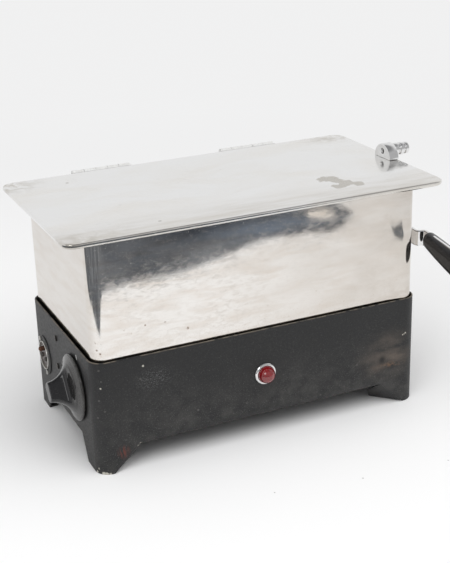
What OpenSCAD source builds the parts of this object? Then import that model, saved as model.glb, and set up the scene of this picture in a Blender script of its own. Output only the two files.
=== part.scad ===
// Boiling instrument sterilizer: a plated bath in a painted base, with a hinged lid,
// a heat control knob, a jewel lamp, a mains inlet and a side lever that lifts the tray.
// Millimetres, +X along the length, -Y is the front with the lamp, +Z up, floor at z = 0.

/* [Base] */
// Distance from the tank's outside to the base's outside
base_gap = 3.3; // [3.1:0.1:3.8]
// Height of the base rim above the floor
base_h = 113; // [112:0.5:116]
// Outside corner radius of the base
base_r = 14; // [12:0.5:15]
// Sheet thickness of the base
sheet = 1.5; // [1.2:0.1:1.8]
// Height of the cut-outs between the feet
cut_h = 25; // [20:0.5:25]
// Length of a foot at the floor, along the front
foot_front_low = 15; // [14.5:0.5:22]
// Length of a foot at the top of the cut-out, along the front
foot_front_high = 41; // [38:1:48]
// Length of a foot at the floor, along the ends
foot_end_low = 32; // [30:1:38]
// Length of a foot at the top of the cut-out, along the ends
foot_end_high = 46; // [42:1:52]
// Width of the folded-in toe under each foot
toe_w = 9; // [6:0.5:10]
// Underside height of the bottom plate
plate_z = 27.7; // [27:0.1:28.5]

/* [Tank] */
// Length of the tank outside
tank_l = 333.4; // [331:0.2:334]
// Width of the tank outside
tank_w = 181.4; // [179:0.2:182]
// Wall thickness of the tank
tank_t = 1.2; // [1:0.1:1.4]
// Outside corner radius of the tank
tank_r = 12; // [10:0.5:13]
// Depth of the tank inside the base
tank_sink = 12; // [11.8:0.1:12.5]
// Height of the tank
tank_h = 128.2; // [128:0.1:128.2]
// Width of the turned-out tank rim
rim_w = 5; // [4:0.5:6]
// Distance of each cross rail from the middle
rail_x = 98; // [94:1:99]
// Width of a cross rail
rail_w = 24; // [20:1:26]

/* [Lid] */
// Overhang of the lid past the tank at each end
lid_over_l = 23.8; // [22.5:0.1:24.3]
// Overhang of the lid past the tank at the front and back
lid_over_w = 11.8; // [11.3:0.1:11.8]
// Shift of the lid towards the lever end
lid_x = 1.8; // [1:0.1:2]
// Sheet thickness of the lid
lid_t = 1.2; // [1:0.1:1.2]
// Height of the turned-down lid edge
lip_h = 4.5; // [4:0.1:4.8]
// Corner radius of the lid
lid_r = 12; // [9:0.5:14]
// Radius of the half-round boss
boss_r = 14.5; // [13:0.5:15]
// Length of the half-round boss
boss_l = 10.8; // [10:0.1:11]
// Place of the boss across the lid
boss_y = -4; // [-8:0.5:4]
// Height of the stud axis above the lid
stud_up = 7; // [6.8:0.1:7.5]
// Radius of the stud rings
stud_r = 6.3; // [5.6:0.1:6.5]
// Length of the stud outside the boss
stud_l = 19; // [16:0.5:20]

/* [Hinges] */
// Distance of each hinge from the middle
hinge_x = 82; // [75:1:90]
// Length of one hinge
hinge_l = 62; // [56:1:64]
// Distance of the hinge axis behind the lid
hinge_out = 5.5; // [5.5:0.1:6]
// Distance of the hinge axis below the lid top
hinge_drop = 3; // [2.8:0.1:3.2]
// Height of a hinge leaf on the tank
leaf_h = 24.7; // [22:0.5:28]
// Radius of a hinge knuckle
knuckle_r = 4; // [3.8:0.1:4]
// Radius of a hinge pin
hinge_pin_r = 1.8; // [1.5:0.1:2]

/* [Knob] */
// Distance of the knob axis towards the front
knob_y = -39; // [-41:0.5:-37]
// Height of the knob axis
knob_z = 68.5; // [67:0.5:69]
// Radius of the knob skirt
knob_r = 32; // [30:0.5:32.5]
// Length of the knob from its back face
knob_l = 25.5; // [25.5:0.5:27]
// Half thickness of the knob bar
knob_bar = 6.4; // [6:0.1:7.4]
// Turn of the knob bar from upright, its top end towards the back
knob_turn = 36; // [0:1:90]
// Radius of the regulator spindle
spindle_r = 3; // [2.8:0.1:3.2]

/* [Lamp] */
// Place of the lamp along the front
lamp_x = 0; // [-4:0.5:4]
// Height of the lamp
lamp_z = 67; // [64:0.5:70]
// Radius of the lamp bezel
bezel_r = 11; // [10.5:0.1:11.5]
// Radius of the red lens
lens_r = 8.3; // [8:0.1:8.6]

/* [Inlet] */
// Distance of the mains inlet towards the back
inlet_y = 59; // [58:0.5:60]
// Height of the mains inlet
inlet_z = 61; // [60:0.5:62]
// Outside radius of the inlet shroud
shroud_r = 15; // [14.5:0.1:15.5]
// Reach of the inlet shroud out of the base
shroud_out = 6; // [5:0.5:8]

/* [Lever] */
// Distance of the lifting shaft from the back of the tank
shaft_in = 20.7; // [20.7:0.1:21.2]
// Distance of the lifting shaft below the tank rim
shaft_down = 69.2; // [68.2:0.5:70.2]
// Radius of the lifting shaft
shaft_r = 4; // [3.8:0.1:4]
// Length of the crank arms between centres
crank_l = 74; // [72:0.5:75]
// Droop of the crank arms at rest
crank_deg = 24.5; // [23.5:0.5:25]
// Gap between the lid's end and the lever strap
strap_gap = 3.2; // [3:0.1:4.5]
// Thickness of the lever strap
strap_t = 3; // [2.5:0.1:3]
// Width of the lever strap
strap_w = 16.5; // [15:0.5:17]
// Droop of the strap at rest
strap_deg = 2.5; // [1:0.5:5]
// Length of the straight part of the strap
strap_l = 107; // [100:1:112]
// Sideways step of the strap
step_x = 8; // [6:0.5:9]
// Length of the black grip
grip_l = 98; // [90:1:105]
// Greatest radius of the black grip
grip_r = 11.6; // [10.8:0.1:12]
// Further droop of the grip
grip_deg = 11; // [8:0.5:12]

/* [Tray] */
// Gap between the tray's end and the tank's inside
tray_room = 19.5; // [19.5:0.1:20.5]
// Width of the instrument tray
tray_w = 120; // [110:1:120]
// Height of the tray walls
tray_h = 22; // [20:0.5:24]
// Sheet thickness of the tray
tray_t = 1; // [0.9:0.1:1.2]
// Height of the crank pins above the tray underside
tray_pin_up = 13; // [12:0.5:13.5]
// Radius of the crank pins
crank_pin_r = 3; // [2.8:0.1:3]

/* [Fits] */
// Radial clearance of a running bore
run_gap = 0.06; // [0.03:0.01:0.1]
// Gap between the lid and the tank rim
rest_gap = 0.3; // [0.3:0.05:0.5]
// Gap between parts that move past each other
move_gap = 0.4; // [0.3:0.05:0.5]
// Radial clearance of a screw or leg hole
hole_gap = 0.1; // [0.05:0.05:0.2]

/* [Hidden] */
$fn = 64;
eps = 0.5;
base_l = tank_l + 2 * base_gap;
base_w = tank_w + 2 * base_gap;
cut_front_low = base_l / 2 - foot_front_low;
cut_front_high = base_l / 2 - foot_front_high;
cut_end_low = base_w / 2 - foot_end_low;
cut_end_high = base_w / 2 - foot_end_high;
tank_z = base_h - tank_sink;
rim_z = tank_z + tank_h;
lid_l = tank_l + 2 * lid_over_l;
lid_w = tank_w + 2 * lid_over_w;
lid_z = rim_z + rest_gap + lid_t;
hinge_y = lid_w / 2 + hinge_out;
hinge_z = lid_z - hinge_drop;
shaft_y = tank_w / 2 - shaft_in;
shaft_z = rim_z - shaft_down;
in_l = base_l / 2 - sheet;
in_w = base_w / 2 - sheet;
tank_in_l = tank_l / 2 - tank_t;
tank_in_w = tank_w / 2 - tank_t;
floor_z = tank_z + tank_t;
lid_end = lid_x + lid_l / 2;
strap_x = lid_end + strap_gap;
tray_l = 2 * (tank_in_l - tray_room);
knuckle_w = hinge_l / 5;
plate_t = 1.2;
tab_z = plate_z + plate_t;
tab_t = 1.5;
element_r = 4;
element_y = 30;
element_z = floor_z + 6.3;
element_x = rail_x + rail_w / 2 + 12;
leg_bend = 12;
turn_x = element_x - element_y - 8;
pin_y = shaft_y - crank_l * cos(crank_deg);
pin_z = shaft_z - crank_l * sin(crank_deg);
tray_z = pin_z - tray_pin_up;
ear_t = 1.5;
arm_x = tray_l / 2 + ear_t + 1.5;
arm_t = 3;
arm_hub = 6;
pin_len = arm_x + arm_t + 0.6 - tray_l / 2 + tray_t + move_gap;
gland_r = 6;
gland_head = 9;
bend_r = 12;
bend_deg = acos(1 - step_x / (2 * bend_r));
grip_u = strap_l + 2 * bend_r * sin(bend_deg);
tang_l = 48;
tang_w = 9;
reg_x = base_l / 2 - sheet;
nut_t = 2.4;
shroud_t = 1.2;
grip_half = 9;
knob_back = base_l / 2 + 1;
grip_tip_y = shaft_y - (grip_u + 1) * cos(strap_deg) - grip_l * cos(strap_deg + grip_deg);
place_x = (knob_back + knob_l - strap_x - step_x - strap_t / 2 - grip_half) / 2;
place_y = -(hinge_y + knuckle_r + grip_tip_y) / 2;

// Moves a piece from the base's own middle to the middle of the whole object's box
module placed() {
    translate([place_x, place_y, 0])
        children();
}

// shared shapes

module slab(l, w, r) {
    square([l - 2 * r, w], center = true);
    square([l, w - 2 * r], center = true);
    for (sx = [-1, 1])
        for (sy = [-1, 1])
            translate([sx * (l / 2 - r), sy * (w / 2 - r)])
                circle(r = r);
}

module plate(l, w, r, z, h) {
    translate([0, 0, z])
        linear_extrude(height = h)
            slab(l, w, r);
}

module tube_wall(l, w, r, t, z, h) {
    difference() {
        plate(l, w, r, z, h);
        plate(l - 2 * t, w - 2 * t, r - t, z - eps, h + 2 * eps);
    }
}

// Cylinder along +X from the given point
module rodX(x, y, z, r, l) {
    translate([x, y, z])
        rotate([0, 90, 0])
            cylinder(r = r, h = l);
}

// Cylinder along +Y from the given point
module rodY(x, y, z, r, l) {
    translate([x, y, z])
        rotate([-90, 0, 0])
            cylinder(r = r, h = l);
}

// Hexagon bar along +Z, size across flats
module hex(x, y, z, af, h) {
    translate([x, y, z])
        cylinder(r = af / 2 / cos(30), h = h, $fn = 6);
}

module hexX(x, y, z, af, h) {
    translate([x, y, z])
        rotate([0, 90, 0])
            cylinder(r = af / 2 / cos(30), h = h, $fn = 6);
}

module ringZ(x, y, z, ro, ri, h) {
    translate([x, y, z])
        difference() {
            cylinder(r = ro, h = h);
            translate([0, 0, -eps])
                cylinder(r = ri, h = h + 2 * eps);
        }
}

// Unit vector, curve through points, its directions, and side vectors that turn as little as they can
function unit(v) = v / norm(v);

function curvePoint(a, b, c, d, t) =
    (2 * b + (c - a) * t + (2 * a - 5 * b + 4 * c - d) * t * t
        + (3 * b - a - 3 * c + d) * t * t * t) / 2;

function curve(p, k) = concat([
    for (i = [0 : len(p) - 2])
        for (j = [0 : k - 1])
            curvePoint(p[max(i - 1, 0)], p[i], p[i + 1], p[min(i + 2, len(p) - 1)], j / k)
    ], [p[len(p) - 1]]);

function directions(p) = [
    for (i = [0 : len(p) - 1])
        unit(p[min(i + 1, len(p) - 1)] - p[max(i - 1, 0)])
    ];

function sides(t, n, i) = i == len(t) ? [] :
    let (m = unit(n - (n * t[i]) * t[i])) concat([m], sides(t, m, i + 1));

// Eight-sided wire along a smooth curve through the points
module wirePath(points, r) {
    p = curve(points, 4);
    t = directions(p);
    n = sides(t, [0.31, 0.52, 0.79], 0);
    rim = [for (i = [0 : len(p) - 1]) for (k = [0 : 7])
        p[i] + r * (cos(45 * k) * n[i] + sin(45 * k) * cross(t[i], n[i]))];
    last = 8 * (len(p) - 1);
    walls = [for (i = [0 : 8 : last - 8]) for (k = [0 : 7]) for (h = [0, 1])
        h == 0 ? [i + k, i + 8 + (k + 1) % 8, i + (k + 1) % 8]
            : [i + k, i + 8 + k, i + 8 + (k + 1) % 8]];
    start = [for (k = [1 : 6]) [0, k, k + 1]];
    end = [for (k = [1 : 6]) [last, last + k + 1, last + k]];
    polyhedron(points = rim, faces = concat(walls, start, end), convexity = 6);
}

// base

module footGap() {
    rotate([90, 0, 0])
        linear_extrude(height = base_w + 20, center = true)
            polygon([[-cut_front_low, -1], [cut_front_low, -1], [cut_front_low, 0],
                [cut_front_high, cut_h], [-cut_front_high, cut_h], [-cut_front_low, 0]]);
    rotate([90, 0, 90])
        linear_extrude(height = base_l + 20, center = true)
            polygon([[-cut_end_low, -1], [cut_end_low, -1], [cut_end_low, 0],
                [cut_end_high, cut_h], [-cut_end_high, cut_h], [-cut_end_low, 0]]);
}

tab_places = [[-110, -1], [0, -1], [110, -1], [-110, 1], [0, 1], [110, 1]];
tab_len = 15;

module base_shell() {
    color([0.16, 0.16, 0.17]) placed()
        difference() {
            union() {
                tube_wall(base_l, base_w, base_r, sheet, 0, base_h);
                difference() {
                    tube_wall(base_l, base_w, base_r, toe_w, 0, sheet);
                    translate([0, 0, sheet / 2])
                        cube([2 * cut_front_low, base_w + 10, sheet * 3], center = true);
                    translate([0, 0, sheet / 2])
                        cube([base_l + 10, 2 * cut_end_low, sheet * 3], center = true);
                }
                for (p = tab_places)
                    translate([p[0] - 8, p[1] > 0 ? in_w - tab_len : -in_w, tab_z])
                        cube([16, tab_len, tab_t]);
            }
            footGap();
            for (p = tab_places)
                translate([p[0], p[1] * (in_w - 8), tab_z - 1])
                    cylinder(r = 2 + hole_gap, h = tab_t + 2);
            rodY(lamp_x, -base_w / 2 - 1, lamp_z, 6.2 + hole_gap, 5);
            rodX(-base_l / 2 - 1, knob_y, knob_z, 5 + hole_gap, 5);
            rodX(-base_l / 2 - 1, inlet_y, inlet_z, 12.5 + hole_gap, 5);
            for (p = inlet_screw_places)
                rodX(-base_l / 2 - 1, p[0], p[1], 1.5 + hole_gap, 5);
            for (z = terminal_screw_z)
                rodX(-base_l / 2 - 1, terminal_y, z, 1.5 + hole_gap, 5);
        }
}

module bottom_plate() {
    color([0.55, 0.56, 0.57]) placed()
        difference() {
            plate(2 * in_l - 1, 2 * in_w - 1, base_r - sheet, plate_z, plate_t);
            for (p = tab_places)
                translate([p[0], p[1] * (in_w - 8), plate_z - 1])
                    cylinder(r = 2 + hole_gap, h = plate_t + 2);
            for (x = [-60 : 20 : 60])
                translate([x, 0, plate_z + plate_t / 2])
                    cube([6, 60, plate_t * 3], center = true);
        }
}

module bottom_screws() {
    color([0.6, 0.6, 0.6]) placed()
        for (p = tab_places)
            translate([p[0], p[1] * (in_w - 8), 0]) {
                translate([0, 0, plate_z - 2.2])
                    difference() {
                        cylinder(r = 3.8, h = 2.2);
                        translate([0, 0, 0.4])
                            cube([9, 1, 1.6], center = true);
                    }
                translate([0, 0, plate_z - 0.1])
                    cylinder(r = 2, h = plate_t + tab_t + 4);
            }
}

rail_t = 1.5;
rail_h = 13;
stud_y = 62;

module cross_rails() {
    color([0.6, 0.6, 0.6]) placed()
        for (s = [-1, 1])
            translate([s * rail_x, 0, 0])
                difference() {
                    union() {
                        translate([-rail_w / 2, -in_w, tank_z - rail_t])
                            cube([rail_w, 2 * in_w, rail_t]);
                        for (k = [-rail_w / 2, rail_w / 2 - rail_t])
                            translate([k, -in_w, tank_z - rail_h])
                                cube([rail_t, 2 * in_w, rail_h]);
                    }
                    for (y = [-stud_y, stud_y])
                        translate([0, y, tank_z - rail_t - 1])
                            cylinder(r = 2.5 + hole_gap, h = rail_t + 2);
                }
}

// tank and heater

module tank() {
    color([0.82, 0.81, 0.79]) placed()
        difference() {
            union() {
                plate(tank_l, tank_w, tank_r, tank_z, rim_z - tank_z);
                plate(tank_l + 2 * rim_w, tank_w + 2 * rim_w, tank_r + rim_w, rim_z - tank_t, tank_t);
                for (x = [-rail_x, rail_x])
                    for (y = [-stud_y, stud_y])
                        translate([x, y, tank_z - 11])
                            cylinder(r = 2.5, h = 11.2);
            }
            plate(tank_l - 2 * tank_t, tank_w - 2 * tank_t, tank_r - tank_t, floor_z, rim_z);
            for (y = [-element_y, element_y])
                translate([-element_x, y, tank_z - 1])
                    cylinder(r = 6 + hole_gap, h = tank_t + 2);
            rodX(tank_in_l - 1, shaft_y, shaft_z, gland_r + hole_gap, tank_t + 2);
            for (p = rivet_places)
                rodY(p[0], tank_in_w - 1, p[1], 1.6 + hole_gap, tank_t + 2);
        }
}

module tank_nuts() {
    color([0.65, 0.65, 0.64]) placed()
        for (x = [-rail_x, rail_x])
            for (y = [-stud_y, stud_y])
                difference() {
                    hex(x, y, tank_z - rail_t - 4, 8, 4);
                    translate([x, y, tank_z - rail_t - 5])
                        cylinder(r = 2.5, h = 6);
                }
}

module heating_element() {
    color([0.45, 0.42, 0.38]) placed() {
        for (s = [-1, 1]) {
            rodX(-element_x + leg_bend, s * element_y, element_z, element_r, turn_x + element_x - leg_bend);
            translate([-element_x + leg_bend, s * element_y, element_z - leg_bend])
                rotate([90, 0, 0])
                    rotate([0, 0, 90])
                        rotate_extrude(angle = 90)
                            translate([leg_bend, 0])
                                circle(r = element_r);
            translate([-element_x, s * element_y, tank_z - 14])
                cylinder(r = element_r, h = 14 + element_z - leg_bend - tank_z);
            translate([-element_x, s * element_y, tank_z - 12])
                cylinder(r = 6, h = 12 + tank_t);
            hex(-element_x, s * element_y, floor_z, 18, 3.4);
            translate([-element_x, s * element_y, tank_z - 26])
                cylinder(r = 1.6, h = 13);
        }
        translate([turn_x, 0, element_z])
            rotate([0, 0, -90])
                rotate_extrude(angle = 180)
                    translate([element_y, 0])
                        circle(r = element_r);
    }
}

module element_washers() {
    color([0.25, 0.2, 0.16]) placed()
        for (y = [-element_y, element_y])
            ringZ(-element_x, y, tank_z - 1.6, 9, 6, 1.6);
}

module element_nuts() {
    color([0.7, 0.6, 0.3]) placed()
        for (y = [-element_y, element_y])
            difference() {
                hex(-element_x, y, tank_z - 6.1, 17, 4.5);
                translate([-element_x, y, tank_z - 7])
                    cylinder(r = 6, h = 7);
            }
}

// electrical parts

terminal_y = 15;
terminal_screw_z = [67, 96.5];
block_z = terminal_screw_z[0] + 11;
inlet_screw_places = [[inlet_y - 8.4, inlet_z - 15.4], [inlet_y + 8.4, inlet_z + 15.4]];
reg_s = 44;
reg_d = 36;

module heat_regulator() {
    color([0.2, 0.13, 0.1]) placed() {
        difference() {
            union() {
                translate([-reg_x, knob_y - reg_s / 2, knob_z - reg_s / 2])
                    cube([reg_d, reg_s, reg_s]);
                rodX(-base_l / 2 - nut_t, knob_y, knob_z, 5, nut_t + sheet + 1);
            }
            rodX(-base_l / 2 - nut_t - 1, knob_y, knob_z, spindle_r + run_gap, 22);
        }
        for (s = [-1, 1])
            translate([-reg_x + reg_d, knob_y + s * 12 - 3, knob_z - 3])
                cube([5, 6, 0.8]);
    }
}

module regulator_nut() {
    color([0.7, 0.7, 0.68]) placed()
        difference() {
            hexX(-base_l / 2 - nut_t, knob_y, knob_z, 14, nut_t);
            rodX(-base_l / 2 - nut_t - 1, knob_y, knob_z, 5, nut_t + 2);
        }
}

module terminal_block() {
    color([0.75, 0.7, 0.6]) placed()
        difference() {
            translate([-reg_x, terminal_y - 8, terminal_screw_z[0] - 5])
                cube([11, 16, terminal_screw_z[1] - terminal_screw_z[0] + 8]);
            for (z = terminal_screw_z)
                rodX(-reg_x - 1, terminal_y, z, 1.5, 15);
            for (z = [74.5, 82, 89.5])
                rodY(-reg_x + 6, terminal_y - 9, z, 1.8, 18);
        }
}

module terminal_screws() {
    color([0.12, 0.12, 0.12]) placed()
        for (z = terminal_screw_z) {
            difference() {
                rodX(-base_l / 2 - 1.4, terminal_y, z, 2.8, 1.4);
                translate([-base_l / 2 - 1.4, terminal_y, z])
                    cube([1.2, 7, 0.8], center = true);
            }
            rodX(-base_l / 2 - 0.1, terminal_y, z, 1.5, sheet + 10);
        }
}

module inlet_shroud() {
    color([0.72, 0.71, 0.68]) placed()
        difference() {
            union() {
                rodX(-base_l / 2 - 1.2, inlet_y, inlet_z, 20, 1.2);
                rodX(-base_l / 2 - shroud_out, inlet_y, inlet_z, shroud_r, shroud_out);
            }
            rodX(-base_l / 2 - shroud_out - 1, inlet_y, inlet_z, shroud_r - shroud_t, shroud_out + 3);
            for (p = inlet_screw_places)
                rodX(-base_l / 2 - shroud_out, p[0], p[1], 1.5 + hole_gap, shroud_out + 2);
        }
}

pin_places = [[inlet_y - 6.5, inlet_z - 2], [inlet_y + 6.5, inlet_z - 2]];
earth_place = [inlet_y, inlet_z + 7.5];

module inlet_insulator() {
    color([0.1, 0.08, 0.07]) placed()
        difference() {
            union() {
                rodX(-base_l / 2 - 1, inlet_y, inlet_z, shroud_r - shroud_t, 1);
                rodX(-base_l / 2, inlet_y, inlet_z, 12.5, 14);
            }
            for (p = pin_places)
                rodX(-base_l / 2 - 2, p[0], p[1], 2.4, 18);
            rodX(-base_l / 2 - 2, earth_place[0], earth_place[1], 2.5, 18);
        }
}

module inlet_pins() {
    color([0.62, 0.45, 0.3]) placed()
        for (p = pin_places) {
            rodX(-base_l / 2 - 7, p[0], p[1], 2.4, 27);
            translate([-base_l / 2 - 7, p[0], p[1]])
                sphere(r = 2.4, $fn = 32);
        }
}

module earth_pin() {
    color([0.5, 0.3, 0.22]) placed() {
        rodX(-base_l / 2 - 9, earth_place[0], earth_place[1], 2.5, 29);
        translate([-base_l / 2 - 9, earth_place[0], earth_place[1]])
            sphere(r = 2.5, $fn = 32);
    }
}

module inlet_screws() {
    color([0.75, 0.75, 0.73]) placed()
        for (p = inlet_screw_places) {
            difference() {
                rodX(-base_l / 2 - 2.6, p[0], p[1], 2.3, 1.4);
                translate([-base_l / 2 - 2.6, p[0], p[1]])
                    cube([1.2, 6, 0.7], center = true);
            }
            rodX(-base_l / 2 - 1.3, p[0], p[1], 1.5, 8);
        }
}

module inlet_nuts() {
    color([0.65, 0.65, 0.64]) placed()
        for (p = inlet_screw_places)
            difference() {
                hexX(-reg_x, p[0], p[1], 5.5, 2.4);
                rodX(-reg_x - 1, p[0], p[1], 1.5, 5);
            }
}

wire_r = 1.5;
wire_gap = 0.3;
pin_end = -base_l / 2 + 20 + wire_gap;
tag_x = -reg_x + reg_d + 2.6;
tag_z = knob_z - 3 + 0.8 + wire_gap;
leg_z = tank_z - 26 - wire_gap;
tab_top = tab_z + tab_t + wire_gap;

module wire_live() {
    color([0.6, 0.1, 0.08]) placed()
        wirePath([[pin_end, pin_places[0][0], pin_places[0][1]],
            [pin_end + 5, pin_places[0][0], pin_places[0][1]],
            [pin_end + 10, inlet_y - 27, inlet_z - 4],
            [tag_x, knob_y + 41, knob_z - 5], [tag_x, knob_y + 17, tag_z + 10],
            [tag_x, knob_y + 12, tag_z + 7], [tag_x, knob_y + 12, tag_z]], wire_r);
}

module wire_neutral() {
    color([0.1, 0.1, 0.1]) placed()
        wirePath([[pin_end, pin_places[1][0], pin_places[1][1]],
            [pin_end + 5, pin_places[1][0], pin_places[1][1]],
            [pin_end + 16, inlet_y - 1, inlet_z - 9],
            [-element_x - 3, element_y + 14, inlet_z - 9], [-element_x, element_y + 2, leg_z - 13],
            [-element_x, element_y, leg_z - 6], [-element_x, element_y, leg_z]], wire_r);
}

module wire_heater() {
    color([0.6, 0.1, 0.08]) placed()
        wirePath([[tag_x, knob_y - 12, tag_z], [tag_x, knob_y - 12, tag_z + 5],
            [tag_x + 4, knob_y - 8, tag_z + 8], [2 - element_x, knob_y - 3, tag_z],
            [2 - element_x, knob_y + 2, leg_z - 15], [-element_x, -element_y - 1, leg_z - 14],
            [-element_x, -element_y, leg_z - 8], [-element_x, -element_y, leg_z]], wire_r);
}

module wire_earth() {
    color([0.2, 0.5, 0.2]) placed()
        wirePath([[pin_end, earth_place[0], earth_place[1]],
            [pin_end + 5, earth_place[0], earth_place[1]],
            [pin_end + 10, in_w - 24, inlet_z - 1], [pin_end + 13, in_w - 17, tab_top + 17],
            [pin_end + 22, in_w - 12, tab_top + 11], [pin_end + 32, in_w - 10, tab_top + 11],
            [pin_end + 34, in_w - 10, tab_top + 5], [pin_end + 34, in_w - 10, tab_top]], wire_r);
}

module wire_lamp() {
    color([0.3, 0.3, 0.3]) placed()
        wirePath([[-reg_x + 11 + wire_gap, terminal_y, block_z], [-reg_x + 16, terminal_y, block_z],
            [-reg_x + 28, terminal_y - 5, block_z + 4], [-reg_x + 58, terminal_y - 23, block_z + 4],
            [lamp_x - 50, front_y + 46, lamp_z + 7], [lamp_x - 8, front_y + 36, lamp_z + 1],
            [lamp_x, front_y + 31, lamp_z], [lamp_x, front_y + 24.1 + wire_gap, lamp_z]], wire_r);
}

front_y = -base_w / 2;

module lamp_bezel() {
    color([0.8, 0.8, 0.8]) placed()
        translate([lamp_x, front_y, lamp_z])
            rotate([90, 0, 0])
                rotate_extrude()
                    polygon([[6.3, 0], [bezel_r, 0], [bezel_r, 0.8], [bezel_r - 0.5, 1.7],
                        [bezel_r - 1.4, 2.3], [lens_r + 0.1, 2.5], [lens_r + 0.1, 1], [6.3, 1]]);
}

module lamp_lens() {
    color([0.6, 0.04, 0.05]) placed()
        translate([lamp_x, front_y, lamp_z])
            rotate([90, 0, 0])
                difference() {
                    union() {
                        translate([0, 0, 1])
                            cylinder(r = lens_r, h = 2.5);
                        translate([0, 0, 3.5])
                            sphere(r = lens_r, $fn = 48);
                    }
                    translate([0, 0, 3.5])
                        sphere(r = lens_r - 1.3, $fn = 48);
                    translate([0, 0, -lens_r])
                        cylinder(r = lens_r - 1.3, h = lens_r + 3.5);
                    translate([0, 0, -3 * lens_r + 1])
                        cylinder(r = 2 * lens_r, h = 3 * lens_r);
                }
}

module lamp_bulb() {
    color([0.95, 0.8, 0.6]) placed() {
        rodY(lamp_x, front_y - 5, lamp_z, 3, 14);
        translate([lamp_x, front_y - 5, lamp_z])
            sphere(r = 3, $fn = 32);
    }
}

module lamp_body() {
    color([0.15, 0.12, 0.1]) placed()
        difference() {
            rodY(lamp_x, front_y - 0.9, lamp_z, 6.2, 25);
            rodY(lamp_x, front_y - 2, lamp_z, 3, 11);
        }
}

module lamp_nut() {
    color([0.7, 0.7, 0.68]) placed()
        difference() {
            translate([lamp_x, -in_w + 3, lamp_z])
                rotate([90, 0, 0])
                    cylinder(r = 16 / 2 / cos(30), h = 3, $fn = 6);
            rodY(lamp_x, -in_w - 1, lamp_z, 6.2, 6);
        }
}

// hinges

arm_z = hinge_z - knuckle_r - 1.3;
leaf_z = arm_z + 1 - leaf_h;
rivet_z = leaf_z + 10;
rivet_places = [[-hinge_x - 20, rivet_z], [-hinge_x + 20, rivet_z],
    [hinge_x - 20, rivet_z], [hinge_x + 20, rivet_z]];
leaf_t = 1.5;
back_y = tank_w / 2;

module hingeFixed(x) {
    difference() {
        union() {
            translate([x - hinge_l / 2, back_y, leaf_z])
                cube([hinge_l, leaf_t, leaf_h]);
            translate([x - hinge_l / 2, back_y, arm_z])
                cube([hinge_l, hinge_y - back_y - 7, 1.8]);
            for (k = [0, 2, 4])
                translate([x - hinge_l / 2 + k * knuckle_w, 0, 0]) {
                    translate([0, back_y, arm_z])
                        cube([knuckle_w - move_gap, hinge_y - back_y, 1.8]);
                    rodX(0, hinge_y, hinge_z, knuckle_r, knuckle_w - move_gap);
                }
        }
        rodX(x - hinge_l / 2 - 1, hinge_y, hinge_z, hinge_pin_r, hinge_l + 2);
        for (s = [-20, 20])
            rodY(x + s, back_y - 1, rivet_z, 1.6 + hole_gap, leaf_t + 2);
    }
}

module hinge_leaf_left() {
    color([0.75, 0.74, 0.72]) placed()
        hingeFixed(-hinge_x);
}

module hinge_leaf_right() {
    color([0.75, 0.74, 0.72]) placed()
        hingeFixed(hinge_x);
}

module hinge_rivets() {
    color([0.7, 0.7, 0.68]) placed()
        for (p = rivet_places) {
            rodY(p[0], tank_in_w - 1.2, p[1], 3, 1.2);
            rodY(p[0], tank_in_w - 0.1, p[1], 1.6, tank_t + leaf_t + 0.2);
            rodY(p[0], back_y + leaf_t, p[1], 3, 1.2);
        }
}

module hinge_pins() {
    color([0.7, 0.7, 0.7]) placed()
        for (s = [-1, 1])
            rodX(s * hinge_x - hinge_l / 2 - 0.5, hinge_y, hinge_z, hinge_pin_r, hinge_l + 0.6);
}

leaf_y = lid_w / 2;
lid_leaf_t = 1.2;

module hingeMoving(x) {
    difference() {
        union() {
            translate([x - hinge_l / 2, leaf_y, lid_z - lip_h])
                cube([hinge_l, lid_leaf_t, lip_h]);
            for (k = [1, 3])
                translate([x - hinge_l / 2 + k * knuckle_w, 0, 0]) {
                    translate([0, leaf_y, lid_z - lip_h])
                        cube([knuckle_w - move_gap, hinge_y - leaf_y, lip_h]);
                    rodX(0, hinge_y, hinge_z, knuckle_r, knuckle_w - move_gap);
                }
        }
        rodX(x - hinge_l / 2 - 1, hinge_y, hinge_z, hinge_pin_r + run_gap, hinge_l + 2);
    }
}

module lid_leaf_left() {
    color([0.75, 0.74, 0.72]) placed()
        hingeMoving(-hinge_x);
}

module lid_leaf_right() {
    color([0.75, 0.74, 0.72]) placed()
        hingeMoving(hinge_x);
}

// lid

boss_x = lid_end - boss_l;
boss_screw_places = [[boss_x + 5.4, boss_y - 9], [boss_x + 5.4, boss_y + 9]];
stud_z = lid_z + stud_up;

module lid_panel() {
    color([0.84, 0.83, 0.81]) placed()
        translate([lid_x, 0, 0])
            difference() {
                plate(lid_l, lid_w, lid_r, lid_z - lip_h, lip_h);
                plate(lid_l - 2 * lid_t, lid_w - 2 * lid_t, lid_r - lid_t, lid_z - lip_h - 1,
                    lip_h + 1 - lid_t);
                for (p = boss_screw_places)
                    translate([p[0] - lid_x, p[1], lid_z - 3])
                        cylinder(r = 2 + hole_gap, h = 5);
            }
}

module lid_boss() {
    color([0.8, 0.8, 0.8]) placed()
        difference() {
            intersection() {
                rodX(boss_x, boss_y, lid_z, boss_r, boss_l);
                translate([boss_x - 1, boss_y - boss_r - 1, lid_z])
                    cube([boss_l + 2, 2 * boss_r + 2, boss_r + 2]);
            }
            rodX(boss_x - 1, boss_y, stud_z, 3, boss_l + 2);
            for (p = boss_screw_places)
                translate([p[0], p[1], lid_z - 1])
                    cylinder(r = 2, h = 7);
        }
}

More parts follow.
